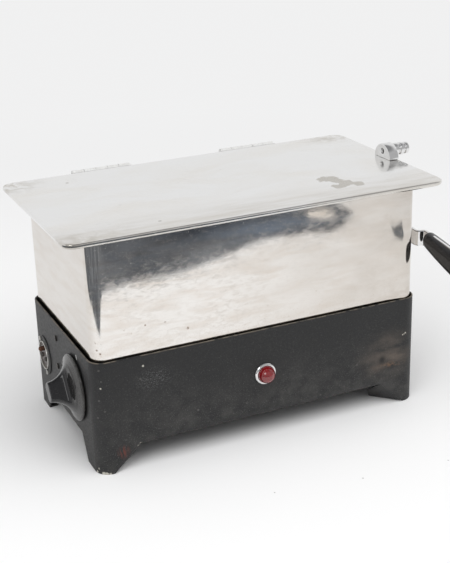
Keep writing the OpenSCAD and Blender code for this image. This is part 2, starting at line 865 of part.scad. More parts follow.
module lid_stud() {
    color([0.82, 0.82, 0.82]) placed()
        translate([lid_end, boss_y, stud_z])
            rotate([0, 90, 0])
                rotate_extrude()
                    polygon([[0, -5.5], [3, -5.5], [3, 0], [4.9, 0], [4.9, 1.6], [5.7, 1.8],
                        [stud_r, 2.4], [stud_r, 5.8], [5.7, 6.5], [4.9, 6.7], [4.9, 8.2],
                        [5.7, 8.4], [stud_r, 9], [stud_r, 12], [5.7, 12.6], [4.9, 12.8],
                        [4.9, 14.2], [5.6, 14.4], [6, 15], [6, stud_l - 1.4],
                        [5, stud_l - 0.3], [4, stud_l], [0, stud_l]]);
}

module boss_screws() {
    color([0.7, 0.7, 0.68]) placed()
        for (p = boss_screw_places) {
            translate([p[0], p[1], lid_z - lid_t - 2])
                cylinder(r = 3.5, h = 2);
            translate([p[0], p[1], lid_z - lid_t - 0.1])
                cylinder(r = 2, h = lid_t + 5.6);
        }
}

// knob

nut_room = 9;

module knobShape() {
    difference() {
        rotate_extrude($fn = 96)
            polygon([[0, 0], [knob_r - 1, 0], [knob_r, 1], [knob_r, 3.2], [knob_r - 0.9, 4.2],
                [28, 4.6], [23.8, 5.7], [20.3, 7.3], [17.3, 9.5], [14.6, 12.3], [12.6, 15.3],
                [11.2, 18.4], [10.2, 21.5], [9.7, knob_l - 1], [9, knob_l], [0, knob_l]]);
        for (s = [0, 180])
            rotate([0, 0, s])
                rotate([90, 0, 0])
                    linear_extrude(height = 80, center = true)
                        polygon([[knob_bar, knob_l + 2], [knob_bar, 13], [knob_bar + 0.8, 10.4],
                            [knob_bar + 2.9, 8.3], [knob_bar + 6, 6.9], [knob_bar + 10.5, 6.2],
                            [40, 6], [40, knob_l + 2]]);
        translate([0, 0, -1])
            cylinder(r = nut_room, h = 1 + nut_t + 0.6);
        translate([0, 0, -1])
            cylinder(r = spindle_r, h = 19);
        translate([0, 0, 11])
            rotate([0, 90, 0])
                cylinder(r = 2, h = 20);
    }
}

// The knob axis points out of the left end; +X of the shape is across the bar
module atKnob() {
    translate([-knob_back, knob_y, knob_z])
        rotate([0, -90, 0])
            rotate([0, 0, 90 + knob_turn])
                children();
}

module knob() {
    color([0.06, 0.06, 0.06]) placed()
        atKnob()
            knobShape();
}

module knob_screw() {
    color([0.6, 0.6, 0.6]) placed()
        atKnob()
            translate([0, 0, 11])
                rotate([0, 90, 0])
                    difference() {
                        translate([0, 0, spindle_r])
                            cylinder(r = 2, h = 5);
                        translate([0, 0, spindle_r + 5])
                            cube([0.7, 5, 1.6], center = true);
                    }
}

module regulator_spindle() {
    color([0.7, 0.6, 0.3]) placed()
        rodX(-knob_back - 18, knob_y, knob_z, spindle_r, 18 + 1 + 17);
}

// lever and lifting gear

// Local frame of the lever: x sideways, -y forward along the strap, z up
module atLever() {
    translate([strap_x, shaft_y, shaft_z])
        rotate([strap_deg, 0, 0])
            children();
}

module bandArc(cx, cy, r, a0, a1) {
    n = 8;
    translate([cx, cy])
        intersection() {
            difference() {
                circle(r = r + strap_t / 2, $fn = 96);
                circle(r = r - strap_t / 2, $fn = 96);
            }
            polygon(concat([[0, 0]], [for (i = [0 : n])
                let (a = a0 + (a1 - a0) * i / n) 3 * r * [cos(a), sin(a)]]));
        }
}

module lever_strap() {
    color([0.8, 0.8, 0.8]) placed()
        atLever()
            difference() {
                union() {
                    rodX(0, 0, 0, strap_w / 2 + 1, strap_t);
                    translate([0, -strap_l, -strap_w / 2])
                        cube([strap_t, strap_l, strap_w]);
                    translate([0, 0, -strap_w / 2])
                        linear_extrude(height = strap_w) {
                            bandArc(strap_t / 2 + bend_r, -strap_l, bend_r, 180, 180 + bend_deg);
                            bandArc(strap_t / 2 + step_x - bend_r, -grip_u, bend_r, 0, bend_deg);
                        }
                    translate([step_x, -grip_u - tang_l, -tang_w / 2])
                        cube([strap_t, tang_l + 0.01, tang_w]);
                }
                rodX(-1, 0, 0, shaft_r, strap_t + 2);
                for (d = rivet_u)
                    rodX(step_x - 2, -grip_u - d, 0, 2, strap_t + 4);
            }
}

rivet_u = [14, 38];

module lever_hub() {
    color([0.78, 0.78, 0.78]) placed()
        difference() {
            rodX(tank_l / 2 + 3.4, shaft_y, shaft_z, 8, strap_x - tank_l / 2 - 3.4);
            rodX(tank_l / 2 + 2, shaft_y, shaft_z, shaft_r, strap_x - tank_l / 2);
        }
}

module gripShape() {
    rotate([90, 0, 0])
        rotate_extrude()
            polygon([[0, 0], [6, 0], [7.6, 0.8], [8.4, 2.4], [9.2, 8], [10.2, 20],
                [11, 34], [grip_r, 50], [grip_r, 62], [grip_r - 0.6, grip_l - 20],
                [grip_r - 2, grip_l - 8], [grip_r - 4, grip_l - 3], [grip_r - 7, grip_l - 0.6],
                [0, grip_l]]);
}

module lever_grip() {
    color([0.05, 0.05, 0.05]) placed()
        atLever()
            difference() {
                translate([step_x + strap_t / 2, -grip_u - 1, 0])
                    rotate([grip_deg, 0, 0])
                        intersection() {
                            gripShape();
                            translate([-grip_half, -grip_l - 1, -20])
                                cube([2 * grip_half, grip_l + 2, 40]);
                        }
                translate([step_x, -grip_u - tang_l, -tang_w / 2])
                    cube([strap_t, tang_l + 5, tang_w]);
                for (d = rivet_u)
                    rodX(step_x - 20, -grip_u - d, 0, 2, 40);
            }
}

module grip_rivets() {
    color([0.72, 0.72, 0.7]) placed()
        atLever()
            for (d = rivet_u)
                rodX(step_x + strap_t / 2 - 8.2, -grip_u - d, 0, 2, 16.4);
}

module lever_nut() {
    color([0.8, 0.8, 0.8]) placed()
        difference() {
            union() {
                hexX(strap_x + strap_t, shaft_y, shaft_z, 13, 4);
                intersection() {
                    translate([strap_x + strap_t + 3, shaft_y, shaft_z])
                        sphere(r = 6);
                    rodX(strap_x + strap_t + 3, shaft_y, shaft_z, 7, 8);
                }
            }
            rodX(strap_x + strap_t - 1, shaft_y, shaft_z, shaft_r, 5);
        }
}

module lifting_shaft() {
    color([0.75, 0.75, 0.74]) placed()
        rodX(-tank_in_l + 2.5, shaft_y, shaft_z, shaft_r, tank_in_l - 2.5 + strap_x + strap_t + 4);
}

module shaft_bearing() {
    color([0.75, 0.74, 0.72]) placed()
        difference() {
            union() {
                translate([-tank_in_l, shaft_y - 8, shaft_z - 14])
                    cube([1.5, 16, 28]);
                rodX(-tank_in_l, shaft_y, shaft_z, 7, 6.5);
            }
            rodX(-tank_in_l + 2, shaft_y, shaft_z, shaft_r + run_gap, 6);
        }
}

module shaft_gland() {
    color([0.72, 0.6, 0.35]) placed()
        difference() {
            union() {
                rodX(tank_l / 2 + 0.8, shaft_y, shaft_z, gland_head, 2.2);
                rodX(tank_in_l - 4.3, shaft_y, shaft_z, gland_r, tank_t + 5.3);
            }
            rodX(tank_in_l - 6, shaft_y, shaft_z, shaft_r + run_gap, 14);
        }
}

module gland_washers() {
    color([0.2, 0.2, 0.2]) placed() {
        difference() {
            rodX(tank_l / 2, shaft_y, shaft_z, gland_head - 0.4, 0.8);
            rodX(tank_l / 2 - 1, shaft_y, shaft_z, gland_r, 3);
        }
        difference() {
            rodX(tank_in_l - 0.8, shaft_y, shaft_z, gland_head - 0.4, 0.8);
            rodX(tank_in_l - 2, shaft_y, shaft_z, gland_r, 4);
        }
    }
}

module gland_nut() {
    color([0.72, 0.6, 0.35]) placed()
        difference() {
            hexX(tank_in_l - 4, shaft_y, shaft_z, 15, 3.2);
            rodX(tank_in_l - 5, shaft_y, shaft_z, gland_r, 6);
        }
}

// One crank arm with its hub outside; the shape starts at the given x
module crankArm(x, hub) {
    difference() {
        union() {
            translate([x, shaft_y, shaft_z])
                rotate([crank_deg, 0, 0])
                    rotate([90, 0, 90])
                        linear_extrude(height = arm_t) {
                            circle(r = 9);
                            translate([-crank_l, 0])
                                circle(r = 7);
                            translate([-crank_l, -6])
                                square([crank_l, 12]);
                        }
            rodX(hub, shaft_y, shaft_z, 8, arm_hub + 1);
        }
        rodX(x - 20, shaft_y, shaft_z, shaft_r, 50);
        rodX(x - 20, pin_y, pin_z, crank_pin_r, 50);
    }
}

module crank_arm_left() {
    color([0.76, 0.76, 0.75]) placed()
        crankArm(-arm_x - arm_t, -arm_x - arm_t - arm_hub);
}

module crank_arm_right() {
    color([0.76, 0.76, 0.75]) placed()
        crankArm(arm_x, arm_x + arm_t - 1);
}

module crank_pins() {
    color([0.72, 0.72, 0.7]) placed()
        for (s = [0, 180])
            translate([0, pin_y, pin_z])
                rotate([0, 0, s]) {
                    rodX(tray_l / 2 - tray_t - move_gap - 1.6, 0, 0, 5, 1.6);
                    rodX(tray_l / 2 - tray_t - move_gap - 0.1, 0, 0, crank_pin_r, pin_len);
                }
}

module tray() {
    color([0.78, 0.78, 0.77]) placed()
        translate([0, pin_y, 0])
            difference() {
                union() {
                    plate(tray_l, tray_w, 8, tray_z, tray_h);
                    plate(tray_l, tray_w + 5, 8, tray_z + tray_h - tray_t, tray_t);
                }
                plate(tray_l - 2 * tray_t, tray_w - 2 * tray_t, 8 - tray_t, tray_z + tray_t, tray_h);
                for (x = [-126 : 18 : 126])
                    for (y = [-45 : 18 : 45])
                        translate([x, y, tray_z - 1])
                            cylinder(r = 3.5, h = tray_t + 2, $fn = 32);
                rodX(-tray_l / 2 - 1, 0, pin_z, crank_pin_r + run_gap, tray_l + 2);
                for (s = [-1, 1])
                    for (d = [-12, 12])
                        rodX(s * tray_l / 2 - 3, d, pin_z, 1.5 + hole_gap, 6);
            }
}

module trayEar(x) {
    difference() {
        translate([x, pin_y - 18, tray_z + 2])
            cube([ear_t, 36, tray_h - 4]);
        rodX(x - 1, pin_y, pin_z, crank_pin_r + run_gap, ear_t + 2);
        for (d = [-12, 12])
            rodX(x - 1, pin_y + d, pin_z, 1.5 + hole_gap, ear_t + 2);
    }
}

module tray_ear_left() {
    color([0.74, 0.74, 0.73]) placed()
        trayEar(-tray_l / 2 - ear_t);
}

module tray_ear_right() {
    color([0.74, 0.74, 0.73]) placed()
        trayEar(tray_l / 2);
}

module tray_rivets() {
    color([0.7, 0.7, 0.68]) placed()
        for (s = [0, 180])
            for (d = [-12, 12])
                translate([0, pin_y, pin_z])
                    rotate([0, 0, s]) {
                        rodX(tray_l / 2 - tray_t - 0.8, d, 0, 2.6, 0.8);
                        rodX(tray_l / 2 - tray_t - 0.1, d, 0, 1.5, tray_t + ear_t + 0.2);
                        rodX(tray_l / 2 + ear_t, d, 0, 2.6, 0.8);
                    }
}

base_shell();
bottom_plate();
bottom_screws();
cross_rails();
tank();
tank_nuts();
heating_element();
element_washers();
element_nuts();
heat_regulator();
regulator_nut();
terminal_block();
terminal_screws();
inlet_shroud();
inlet_insulator();
inlet_pins();
earth_pin();
inlet_screws();
inlet_nuts();
wire_live();
wire_neutral();
wire_heater();
wire_earth();
wire_lamp();
lamp_bezel();
lamp_lens();
lamp_bulb();
lamp_body();
lamp_nut();
hinge_leaf_left();
hinge_leaf_right();
hinge_rivets();
hinge_pins();
shaft_gland();
gland_nut();
gland_washers();
shaft_bearing();
lid_panel();
lid_leaf_left();
lid_leaf_right();
lid_boss();
lid_stud();
boss_screws();
knob();
knob_screw();
regulator_spindle();
lever_strap();
lever_hub();
lever_grip();
grip_rivets();
lever_nut();
lifting_shaft();
crank_arm_left();
crank_arm_right();
crank_pins();
tray();
tray_ear_left();
tray_ear_right();
tray_rivets();
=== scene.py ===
import math
import bpy
import numpy as np
from mathutils import Matrix, Vector


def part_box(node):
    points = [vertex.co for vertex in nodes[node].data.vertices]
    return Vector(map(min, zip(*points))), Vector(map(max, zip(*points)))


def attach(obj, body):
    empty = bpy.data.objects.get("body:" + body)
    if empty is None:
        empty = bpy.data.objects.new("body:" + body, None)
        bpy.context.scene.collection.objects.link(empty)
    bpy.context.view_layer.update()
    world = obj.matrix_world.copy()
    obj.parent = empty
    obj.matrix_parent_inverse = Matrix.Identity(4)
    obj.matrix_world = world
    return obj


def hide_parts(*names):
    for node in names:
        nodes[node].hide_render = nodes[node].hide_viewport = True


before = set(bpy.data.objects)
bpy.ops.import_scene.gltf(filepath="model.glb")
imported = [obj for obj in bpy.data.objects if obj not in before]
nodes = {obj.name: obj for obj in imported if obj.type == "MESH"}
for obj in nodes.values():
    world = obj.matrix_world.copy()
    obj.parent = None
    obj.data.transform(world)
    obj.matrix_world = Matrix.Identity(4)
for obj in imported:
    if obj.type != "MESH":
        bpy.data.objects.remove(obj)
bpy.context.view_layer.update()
shellLow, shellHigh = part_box("base_shell")
baseCentre = np.array([(shellLow[0] + shellHigh[0]) / 2, (shellLow[1] + shellHigh[1]) / 2, 0.0])
bpy.context.scene.view_settings.view_transform = "Standard"


def inRoom(points):
    # millimetres from the middle of the base's footprint, times 0.001, plus that middle: metres in the frame
    return np.asarray(points, float) * 0.001 + baseCentre


photoView = {"azimuth": -24.271, "height": 21.553, "roll": -1.682, "distance": 1185.0,
    "target": (3.4, 0.0, 127.35), "lens": 75.9}


def setCamera(view):
    # the camera stands back from the target along (sin a cos h, -cos a cos h, sin h) and is turned
    # about that line by the roll
    azimuth, height, roll = (math.radians(view[key]) for key in ("azimuth", "height", "roll"))
    back = np.array([math.sin(azimuth) * math.cos(height), -math.cos(azimuth) * math.cos(height),
        math.sin(height)])
    level = np.cross(-back, [0.0, 0.0, 1.0])
    level /= np.linalg.norm(level)
    upright = np.cross(level, -back)
    right = level * math.cos(roll) + upright * math.sin(roll)
    upward = upright * math.cos(roll) - level * math.sin(roll)
    data = bpy.data.cameras.new("photoCamera")
    data.lens = view["lens"]
    data.sensor_width = 36.0  # the long side's
    data.clip_start = 0.05
    camera = bpy.data.objects.new("photoCamera", data)
    bpy.context.scene.collection.objects.link(camera)
    turned = Matrix(np.stack([right, upward, back], 1).tolist()).to_4x4()
    turned.translation = inRoom(np.array(view["target"]) + back * view["distance"])
    camera.matrix_world = turned
    bpy.context.scene.camera = camera


setCamera(photoView)
print("camera set")


def add(tree, kind, sockets=None, **settings):
    made = tree.nodes.new("ShaderNode" + kind)
    for key, value in settings.items():
        setattr(made, key, value)
    for key, value in (sockets or {}).items():
        socket = made.inputs[key]
        if isinstance(value, bpy.types.NodeSocket):
            tree.links.new(value, socket)
        else:
            socket.default_value = value
    return made


def calc(tree, operation, *values):
    return add(tree, "Math", dict(enumerate(values)), operation=operation).outputs[0]


def vector(tree, operation, first, second):
    return add(tree, "VectorMath", {0: first, 1: second}, operation=operation).outputs


def times(tree, first, second):
    return calc(tree, "MULTIPLY", first, second)


def most(tree, first, *others):
    # the greatest of several masks
    for other in others:
        first = calc(tree, "MAXIMUM", first, other)
    return first


def mirrorsAndCamera(tree):
    # whether a ray is reflected or bent, and whether it is that or the camera's own
    rays = add(tree, "LightPath").outputs
    mirrored = most(tree, rays["Is Glossy Ray"], rays["Is Transmission Ray"])
    return mirrored, most(tree, rays["Is Camera Ray"], mirrored)


def span(tree, value, low, high, start=0.0, end=1.0, kind="LINEAR"):
    # start at low, end at high, a straight line or a smooth step between them
    sockets = {"Value": value, "From Min": low, "From Max": high, "To Min": start, "To Max": end}
    return add(tree, "MapRange", sockets, interpolation_type=kind).outputs[0]


def blendTone(tree, share, first, second):
    return add(tree, "Mix", {0: share, 6: first, 7: second}, data_type="RGBA").outputs[2]


def tinted(tree, tone, colour, share, amount=1.0):
    # the tone turned towards the colour by share times amount
    return blendTone(tree, share if amount == 1.0 else times(tree, share, amount), tone, colour)


def layered(tree, look, layers):
    # the look's tone under each layer (the name of its colour, mask, amount)
    tone = look["tone"]
    for colour, share, amount in layers:
        tone = tinted(tree, tone, look[colour], share, amount)
    return tone


def cloudy(tree, place, scale, detail=3.0, stretch=(1.0, 1.0, 1.0), turn=(0.0, 0.0, 0.0), warp=0.0):
    # noise of 1/scale metres, longer along the axes whose stretch is small
    laid = add(tree, "Mapping", {"Vector": place, "Rotation": turn, "Scale": stretch}).outputs[0]
    return add(tree, "TexNoise", {"Vector": laid, "Scale": scale, "Detail": detail,
        "Distortion": warp}).outputs[0]


def clouded(tree, place, scale, detail, low, high, start=0.0, end=1.0, **laid):
    # cloudy noise as a mask: start where it is below low, end where it is above high
    return span(tree, cloudy(tree, place, scale, detail, **laid), low, high, start, end)


def ragged(tree, place, scale, amount):
    # the place, pushed about by noise, so that what is drawn there gets an uneven edge
    push = add(tree, "TexNoise", {"Vector": place, "Scale": scale, "Detail": 2.0}).outputs["Color"]
    centred = vector(tree, "SUBTRACT", push, (0.5, 0.5, 0.5))[0]
    scaled = add(tree, "VectorMath", {0: centred, "Scale": amount}, operation="SCALE").outputs[0]
    return vector(tree, "ADD", place, scaled)[0]


def spots(tree, place, marks, edge=0.0004):
    # 1 inside any of the marks (x, y, z, radius in mm), 0 outside, by the least of distance minus radius
    nearest = None
    for x, y, z, radius in marks:
        distance = vector(tree, "DISTANCE", place, tuple(inRoom((x, y, z))))["Value"]
        gap = calc(tree, "SUBTRACT", distance, radius * 0.001)
        nearest = gap if nearest is None else calc(tree, "MINIMUM", nearest, gap)
    return span(tree, nearest, edge, -edge)


def patchAt(tree, place, centre, reach):
    # a soft ellipsoid: 1 at the centre, 0 at the reach (mm) along each axis
    off = vector(tree, "SUBTRACT", place, tuple(inRoom(centre)))[0]
    scaled = vector(tree, "MULTIPLY", off, tuple(1000.0 / np.array(reach)))[0]
    length = add(tree, "VectorMath", {0: scaled}, operation="LENGTH").outputs["Value"]
    return span(tree, length, 1.0, 0.0, kind="SMOOTHSTEP")


def hairlines(tree, place, turn, across, along, keep, fade=0.06):
    # short straight lines: noise squeezed across them, kept where it is high
    laid = add(tree, "Mapping", {"Vector": place, "Rotation": turn,
        "Scale": (along, across, across)}).outputs[0]
    noise = add(tree, "TexNoise", {"Vector": laid, "Scale": 1.0, "Detail": 1.5}).outputs[0]
    return span(tree, noise, keep, keep + fade)


def scratches(tree, place, sets):
    # several sets of hairlines, each (turn about z, across, along, keep)
    return most(tree, *[hairlines(tree, place, (0, 0, turn), *rest) for turn, *rest in sets])


def startMaterial(name, **sockets):
    material = bpy.data.materials.new(name)
    material.use_nodes = True
    tree = material.node_tree
    shader = tree.nodes["Principled BSDF"]
    for key, value in sockets.items():
        shader.inputs[key.replace("_", " ")].default_value = value
    place = add(tree, "TexCoord").outputs["Object"]
    return material, tree, shader, place


def rough(tree, shader, value, *layers):
    # the value plus each layer's mask times its amount
    for mask, amount in layers:
        value = calc(tree, "MULTIPLY_ADD", mask, amount, value)
    tree.links.new(value, shader.inputs["Roughness"])


def paint(tree, shader, value):
    tree.links.new(value, shader.inputs["Base Color"])


def relief(tree, shader, layers):
    # each layer (height, distance in metres) is laid on the one before it
    normal = None
    for height, distance in layers:
        sockets = {"Height": height, "Distance": distance, "Strength": 1.0}
        if normal is not None:
            sockets["Normal"] = normal
        normal = add(tree, "Bump", sockets).outputs[0]
    tree.links.new(normal, shader.inputs["Normal"])


# the fade is given by its start and end, in metres away from the object
stageLook = {
    "floor": (0.90, 0.90, 0.902, 1), "floorCloud": (0.80, 0.80, 0.81, 1), "cloudShare": 0.03,
    "speck": (0.45, 0.44, 0.44, 1),
    "specks": [(42.0, -205.0, 0, 0.8), (128.0, -214.0, 0, 0.7), (-40.0, -190.0, 0, 0.7)],
    "floorReach": 4000, "floorHeight": -0.05, "fade": (0.42, 1.3),
    "backdrop": (0.875, 0.875, 0.877, 1), "ceiling": (0.27, 0.27, 0.275, 1),
    "frontRoom": (0.50, 0.50, 0.505, 1),
    "horizon": 0.06, "zenith": 1.25, "behind": 0.35, "inFront": 1.10}
# where a direction's y (front, side) or z (ceiling, sky) turns one tone or strength of the room into the next
roomTurns = {"front": (0.05, -0.35), "ceiling": (0.68, 0.88), "sky": (0.20, 0.60), "side": (0.6, -0.5)}
lampLooks = [
    {"name": "overheadLamp", "place": (150.0, -800.0, 2000.0), "size": 2.2, "power": 17.0, "mirrored": False},
    {"name": "windowLamp", "place": (-1500.0, -1300.0, 1500.0), "size": 0.9, "power": 8.0, "mirrored": True}]
lampTarget = (0.0, 0.0, 100.0)
darkFloorLook = {
    "height": 0.8, "low": (0.085, 0.094, 0.108, 1), "high": (0.195, 0.205, 0.220, 1),
    "deep": (0.036, 0.044, 0.058, 1), "deepAt": ((190, -690, 0), (240, 120, 300)),
    "blue": (0.150, 0.185, 0.240, 1), "blueAt": ((300, -640, 0), (170, 60, 200))}
cardLook = {"tone": (0.86, 0.83, 0.79, 1), "middle": (372, -652), "radii": (23, 29), "height": 1.4,
    "steps": 40}
# the paper's edge in front, in mm from the base's middle, from the left round to the right
paperEdge = [(-900, 420), (-607, 60), (-555, -185), (-466, -275), (-367, -345), (-299, -372), (-232, -440),
    (-160, -498), (-37, -512), (52, -526), (168, -561), (249, -596), (300, -594), (348, -568), (383, -592),
    (424, -636), (432, -700), (432, -2600), (-3200, -2600), (-3200, 420)]


def flatPiece(name, outline, height):
    mesh = bpy.data.meshes.new(name)
    points = np.column_stack([np.array(outline, float), np.full(len(outline), height)])
    mesh.from_pydata(inRoom(points).tolist(), [], [list(range(len(outline)))])
    mesh.update()
    made = bpy.data.objects.new(name, mesh)
    bpy.context.scene.collection.objects.link(made)
    return made


def makeFloor(look):
    reach = look["floorReach"]
    floor = flatPiece("floor", [(-reach, -reach), (reach, -reach), (reach, reach), (-reach, reach)],
        look["floorHeight"])
    material, tree, shader, place = startMaterial("paperFloor", Base_Color=look["floor"], Roughness=0.75,
        Specular_IOR_Level=0.2)
    grey = clouded(tree, place, 3.0, 2.0, 0.3, 0.7, 0.0, look["cloudShare"])
    tone = tinted(tree, look["floor"], look["floorCloud"], grey)
    paint(tree, shader, tinted(tree, tone, look["speck"], spots(tree, place, look["specks"], 0.0003)))
    # far from the object the floor turns into the backdrop for the camera and for mirrors, near it it
    # keeps the shadow
    away = vector(tree, "DISTANCE", place, tuple(inRoom((0.0, 0.0, 0.0))))["Value"]
    far = times(tree, span(tree, away, *look["fade"], kind="SMOOTHSTEP"), mirrorsAndCamera(tree)[1])
    glow = add(tree, "Emission", {"Color": look["backdrop"], "Strength": 1.0}).outputs[0]
    mixed = add(tree, "MixShader", {0: far, 1: shader.outputs[0], 2: glow}).outputs[0]
    tree.links.new(mixed, tree.nodes["Material Output"].inputs["Surface"])
    floor.data.materials.append(material)


def makeMirrored(look, round):
    # a dark floor in front of the paper and a pale round card on it, which only reflections see
    darkFloor = flatPiece("darkFloor", paperEdge, look["height"])
    material, tree, shader, place = startMaterial("darkFloor", Roughness=0.9, Specular_IOR_Level=0.1)
    tone = blendTone(tree, clouded(tree, place, 9.0, 4.0, 0.35, 0.65), look["low"], look["high"])
    tone = tinted(tree, tone, look["deep"], patchAt(tree, place, *look["deepAt"]))
    paint(tree, shader, tinted(tree, tone, look["blue"], patchAt(tree, place, *look["blueAt"])))
    darkFloor.data.materials.append(material)
    turn = np.linspace(0, 2 * math.pi, round["steps"] + 1)[:-1]
    disc = np.column_stack([np.cos(turn), np.sin(turn)]) * round["radii"] + round["middle"]
    roundCard = flatPiece("roundCard", disc, round["height"])
    roundCard.data.materials.append(startMaterial("roundCard", Base_Color=round["tone"], Roughness=0.8)[0])
    for card in (darkFloor, roundCard):
        card.visible_camera = False
        card.visible_diffuse = False
        card.visible_shadow = False
        card.visible_transmission = False


def makeWorld(look, turns):
    world = bpy.data.worlds.new("studio")
    bpy.context.scene.world = world
    world.use_nodes = True
    tree = world.node_tree
    tree.nodes.clear()
    mirrored, seen = mirrorsAndCamera(tree)
    # metal and glass see the backdrop behind, a dark ceiling above and a greyer room in front
    way = add(tree, "SeparateXYZ", {0: add(tree, "TexCoord").outputs["Generated"]}).outputs
    room = blendTone(tree, span(tree, way[1], *turns["front"]), look["backdrop"], look["frontRoom"])
    room = blendTone(tree, span(tree, way[2], *turns["ceiling"]), room, look["ceiling"])
    # what lights the object comes mostly from above and from the front
    fromAbove = span(tree, way[2], *turns["sky"], look["horizon"], look["zenith"])
    strength = times(tree, fromAbove, span(tree, way[1], *turns["side"], look["behind"], look["inFront"]))
    lit = add(tree, "Background", {"Color": (1.0, 1.0, 1.0, 1), "Strength": strength}).outputs[0]
    colour = blendTone(tree, mirrored, look["backdrop"], room)
    shown = add(tree, "Background", {"Color": colour, "Strength": 1.0}).outputs[0]
    both = add(tree, "MixShader", {0: seen, 1: lit, 2: shown}).outputs[0]
    add(tree, "OutputWorld", {"Surface": both})


def softLamp(name, place, size, power, mirrored):
    data = bpy.data.lights.new(name, "AREA")
    data.shape = "SQUARE"
    data.size = size
    data.energy = power
    lamp = bpy.data.objects.new(name, data)
    bpy.context.scene.collection.objects.link(lamp)
    lamp.location = inRoom(place)
    lamp.rotation_mode = "QUATERNION"
    lamp.rotation_quaternion = Vector(np.array(lampTarget) - np.array(place)).to_track_quat("-Z", "Y")
    lamp.visible_glossy = mirrored


makeFloor(stageLook)
makeMirrored(darkFloorLook, cardLook)
makeWorld(stageLook, roomTurns)
for lampLook in lampLooks:
    softLamp(**lampLook)
print("stage set")


def softCorners(points, radius, steps=4, closed=False):
    # each corner p becomes (1-t)^2 a + 2t(1-t) p + t^2 b, where a and b lie a radius away from p on its
    # two sides
    points = np.asarray(points, float)
    back, on = np.roll(points, 1, 0) - points, np.roll(points, -1, 0) - points
    backLength, onLength = np.linalg.norm(back, axis=1, keepdims=True), np.linalg.norm(on, axis=1,
        keepdims=True)
    reach = np.minimum(np.broadcast_to(np.asarray(radius, float).reshape(-1, 1), backLength.shape),
        0.46 * np.minimum(backLength, onLength))
    first, last = points + back / backLength * reach, points + on / onLength * reach
    t = np.linspace(0, 1, steps + 1)[None, :, None]
    curves = (1 - t) ** 2 * first[:, None] + 2 * t * (1 - t) * points[:, None] + t ** 2 * last[:, None]
    if closed:
        return curves.reshape(-1, points.shape[1])
    return np.concatenate([points[:1], curves[1:-1].reshape(-1, points.shape[1]), points[-1:]])


def loopAround(length, width, radius, cornerSteps=10, longCuts=(0.0,), shortCuts=(0.0,)):
    # four straight sides joined by quarter circles, from the front side round by the right, with a
    # point at each cut
    turn = np.linspace(0, math.pi / 2, cornerSteps + 1)[:, None]
    places, outs = [], []
    for number, (way, out) in enumerate((((1, 0), (0, -1)), ((0, 1), (1, 0)), ((-1, 0), (0, 1)),
            ((0, -1), (-1, 0)))):
        way, out = np.array(way, float), np.array(out, float)
        reach, depth = (length / 2, width / 2) if number % 2 == 0 else (width / 2, length / 2)
        cuts = np.sort(np.array(longCuts if number % 2 == 0 else shortCuts, float))[:, None]
        places += [out * depth + cuts * way, way * (reach - radius) + out * (depth - radius) + radius
            * (np.cos(turn) * out + np.sin(turn) * way)]
        outs += [np.repeat(out[None], len(cuts), 0), np.cos(turn) * out + np.sin(turn) * way]
    return np.concatenate(places), np.concatenate(outs)


def carried(loop, outs, profile, middle=(0.0, 0.0)):
    # the profile (outset, height) at every point of the loop: loop + outset * outward, height
    profile = np.asarray(profile, float)
    flat = loop[None] + profile[:, 0, None, None] * outs[None] + np.array(middle)
    return np.concatenate([flat, np.broadcast_to(profile[:, 1, None, None], flat.shape[:2] + (1,))], 2)


def spun(profile, middle, axis, steps=64, start=0.0):
    # the profile (radius, distance along the axis) turned about the axis through the middle
    profile = np.asarray(profile, float)
    axis = np.array(axis, float) / np.linalg.norm(axis)
    side = np.cross(axis, (0.0, 0.0, 1.0) if abs(axis[2]) < 0.9 else (1.0, 0.0, 0.0))
    side /= np.linalg.norm(side)
    angle = start + np.arange(steps) * 2 * math.pi / steps
    ring = np.cos(angle)[:, None] * side + np.sin(angle)[:, None] * np.cross(axis, side)
    return np.array(middle, float) + profile[:, 1, None, None] * axis + profile[:, 0, None, None] * ring[None]


def tripleSum(first, second, third):
    # six times the volume of the tetrahedra that the three corners span with the origin
    return np.einsum("ij,ij->i", first, np.cross(second, third)).sum()


def makePiece(name, patches, body, finish, stands, look=None, sharp=38.0):
    # a patch is (rows x columns of points, whether the rows close on themselves); columns always close,
    # and open ends get a lid
    points, faces, start = [], [], 0
    for grid, rowsClosed in patches:
        rows, columns = grid.shape[:2]
        index = np.arange(rows * columns).reshape(rows, columns)
        beside = np.roll(index, -1, 1)
        above, aboveBeside = np.roll(index, -1, 0), np.roll(beside, -1, 0)
        keep = rows if rowsClosed else rows - 1
        quads = np.stack([index, beside, aboveBeside, above], -1)[:keep].reshape(-1, 4)
        lids = [] if rowsClosed else [index[0, ::-1].tolist(), index[-1].tolist()]
        flat = grid.reshape(-1, 3) - grid.reshape(-1, 3).mean(0)
        corner = flat[quads]
        volume = tripleSum(corner[:, 0], corner[:, 1], corner[:, 2]) + tripleSum(corner[:, 0], corner[:, 2],
            corner[:, 3])
        for lid in lids:
            fan = flat[lid]
            volume += tripleSum(np.broadcast_to(fan[0], fan[1:-1].shape), fan[1:-1], fan[2:])
        made = quads.tolist() + lids
        if volume < 0:
            made = [face[::-1] for face in made]
        faces += [[number + start for number in face] for face in made]
        points.append(grid.reshape(-1, 3))
        start += rows * columns
    mesh = bpy.data.meshes.new(name)
    mesh.from_pydata(inRoom(np.concatenate(points)).tolist(), [], faces)
    mesh.polygons.foreach_set("use_smooth", np.ones(len(faces), bool))
    mesh.set_sharp_from_angle(angle=math.radians(sharp))
    mesh.materials.append(finishes[look or finish])
    mesh.update()
    piece = bpy.data.objects.new(name, mesh)
    bpy.context.scene.collection.objects.link(piece)
    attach(piece, body)
    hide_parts(*stands)


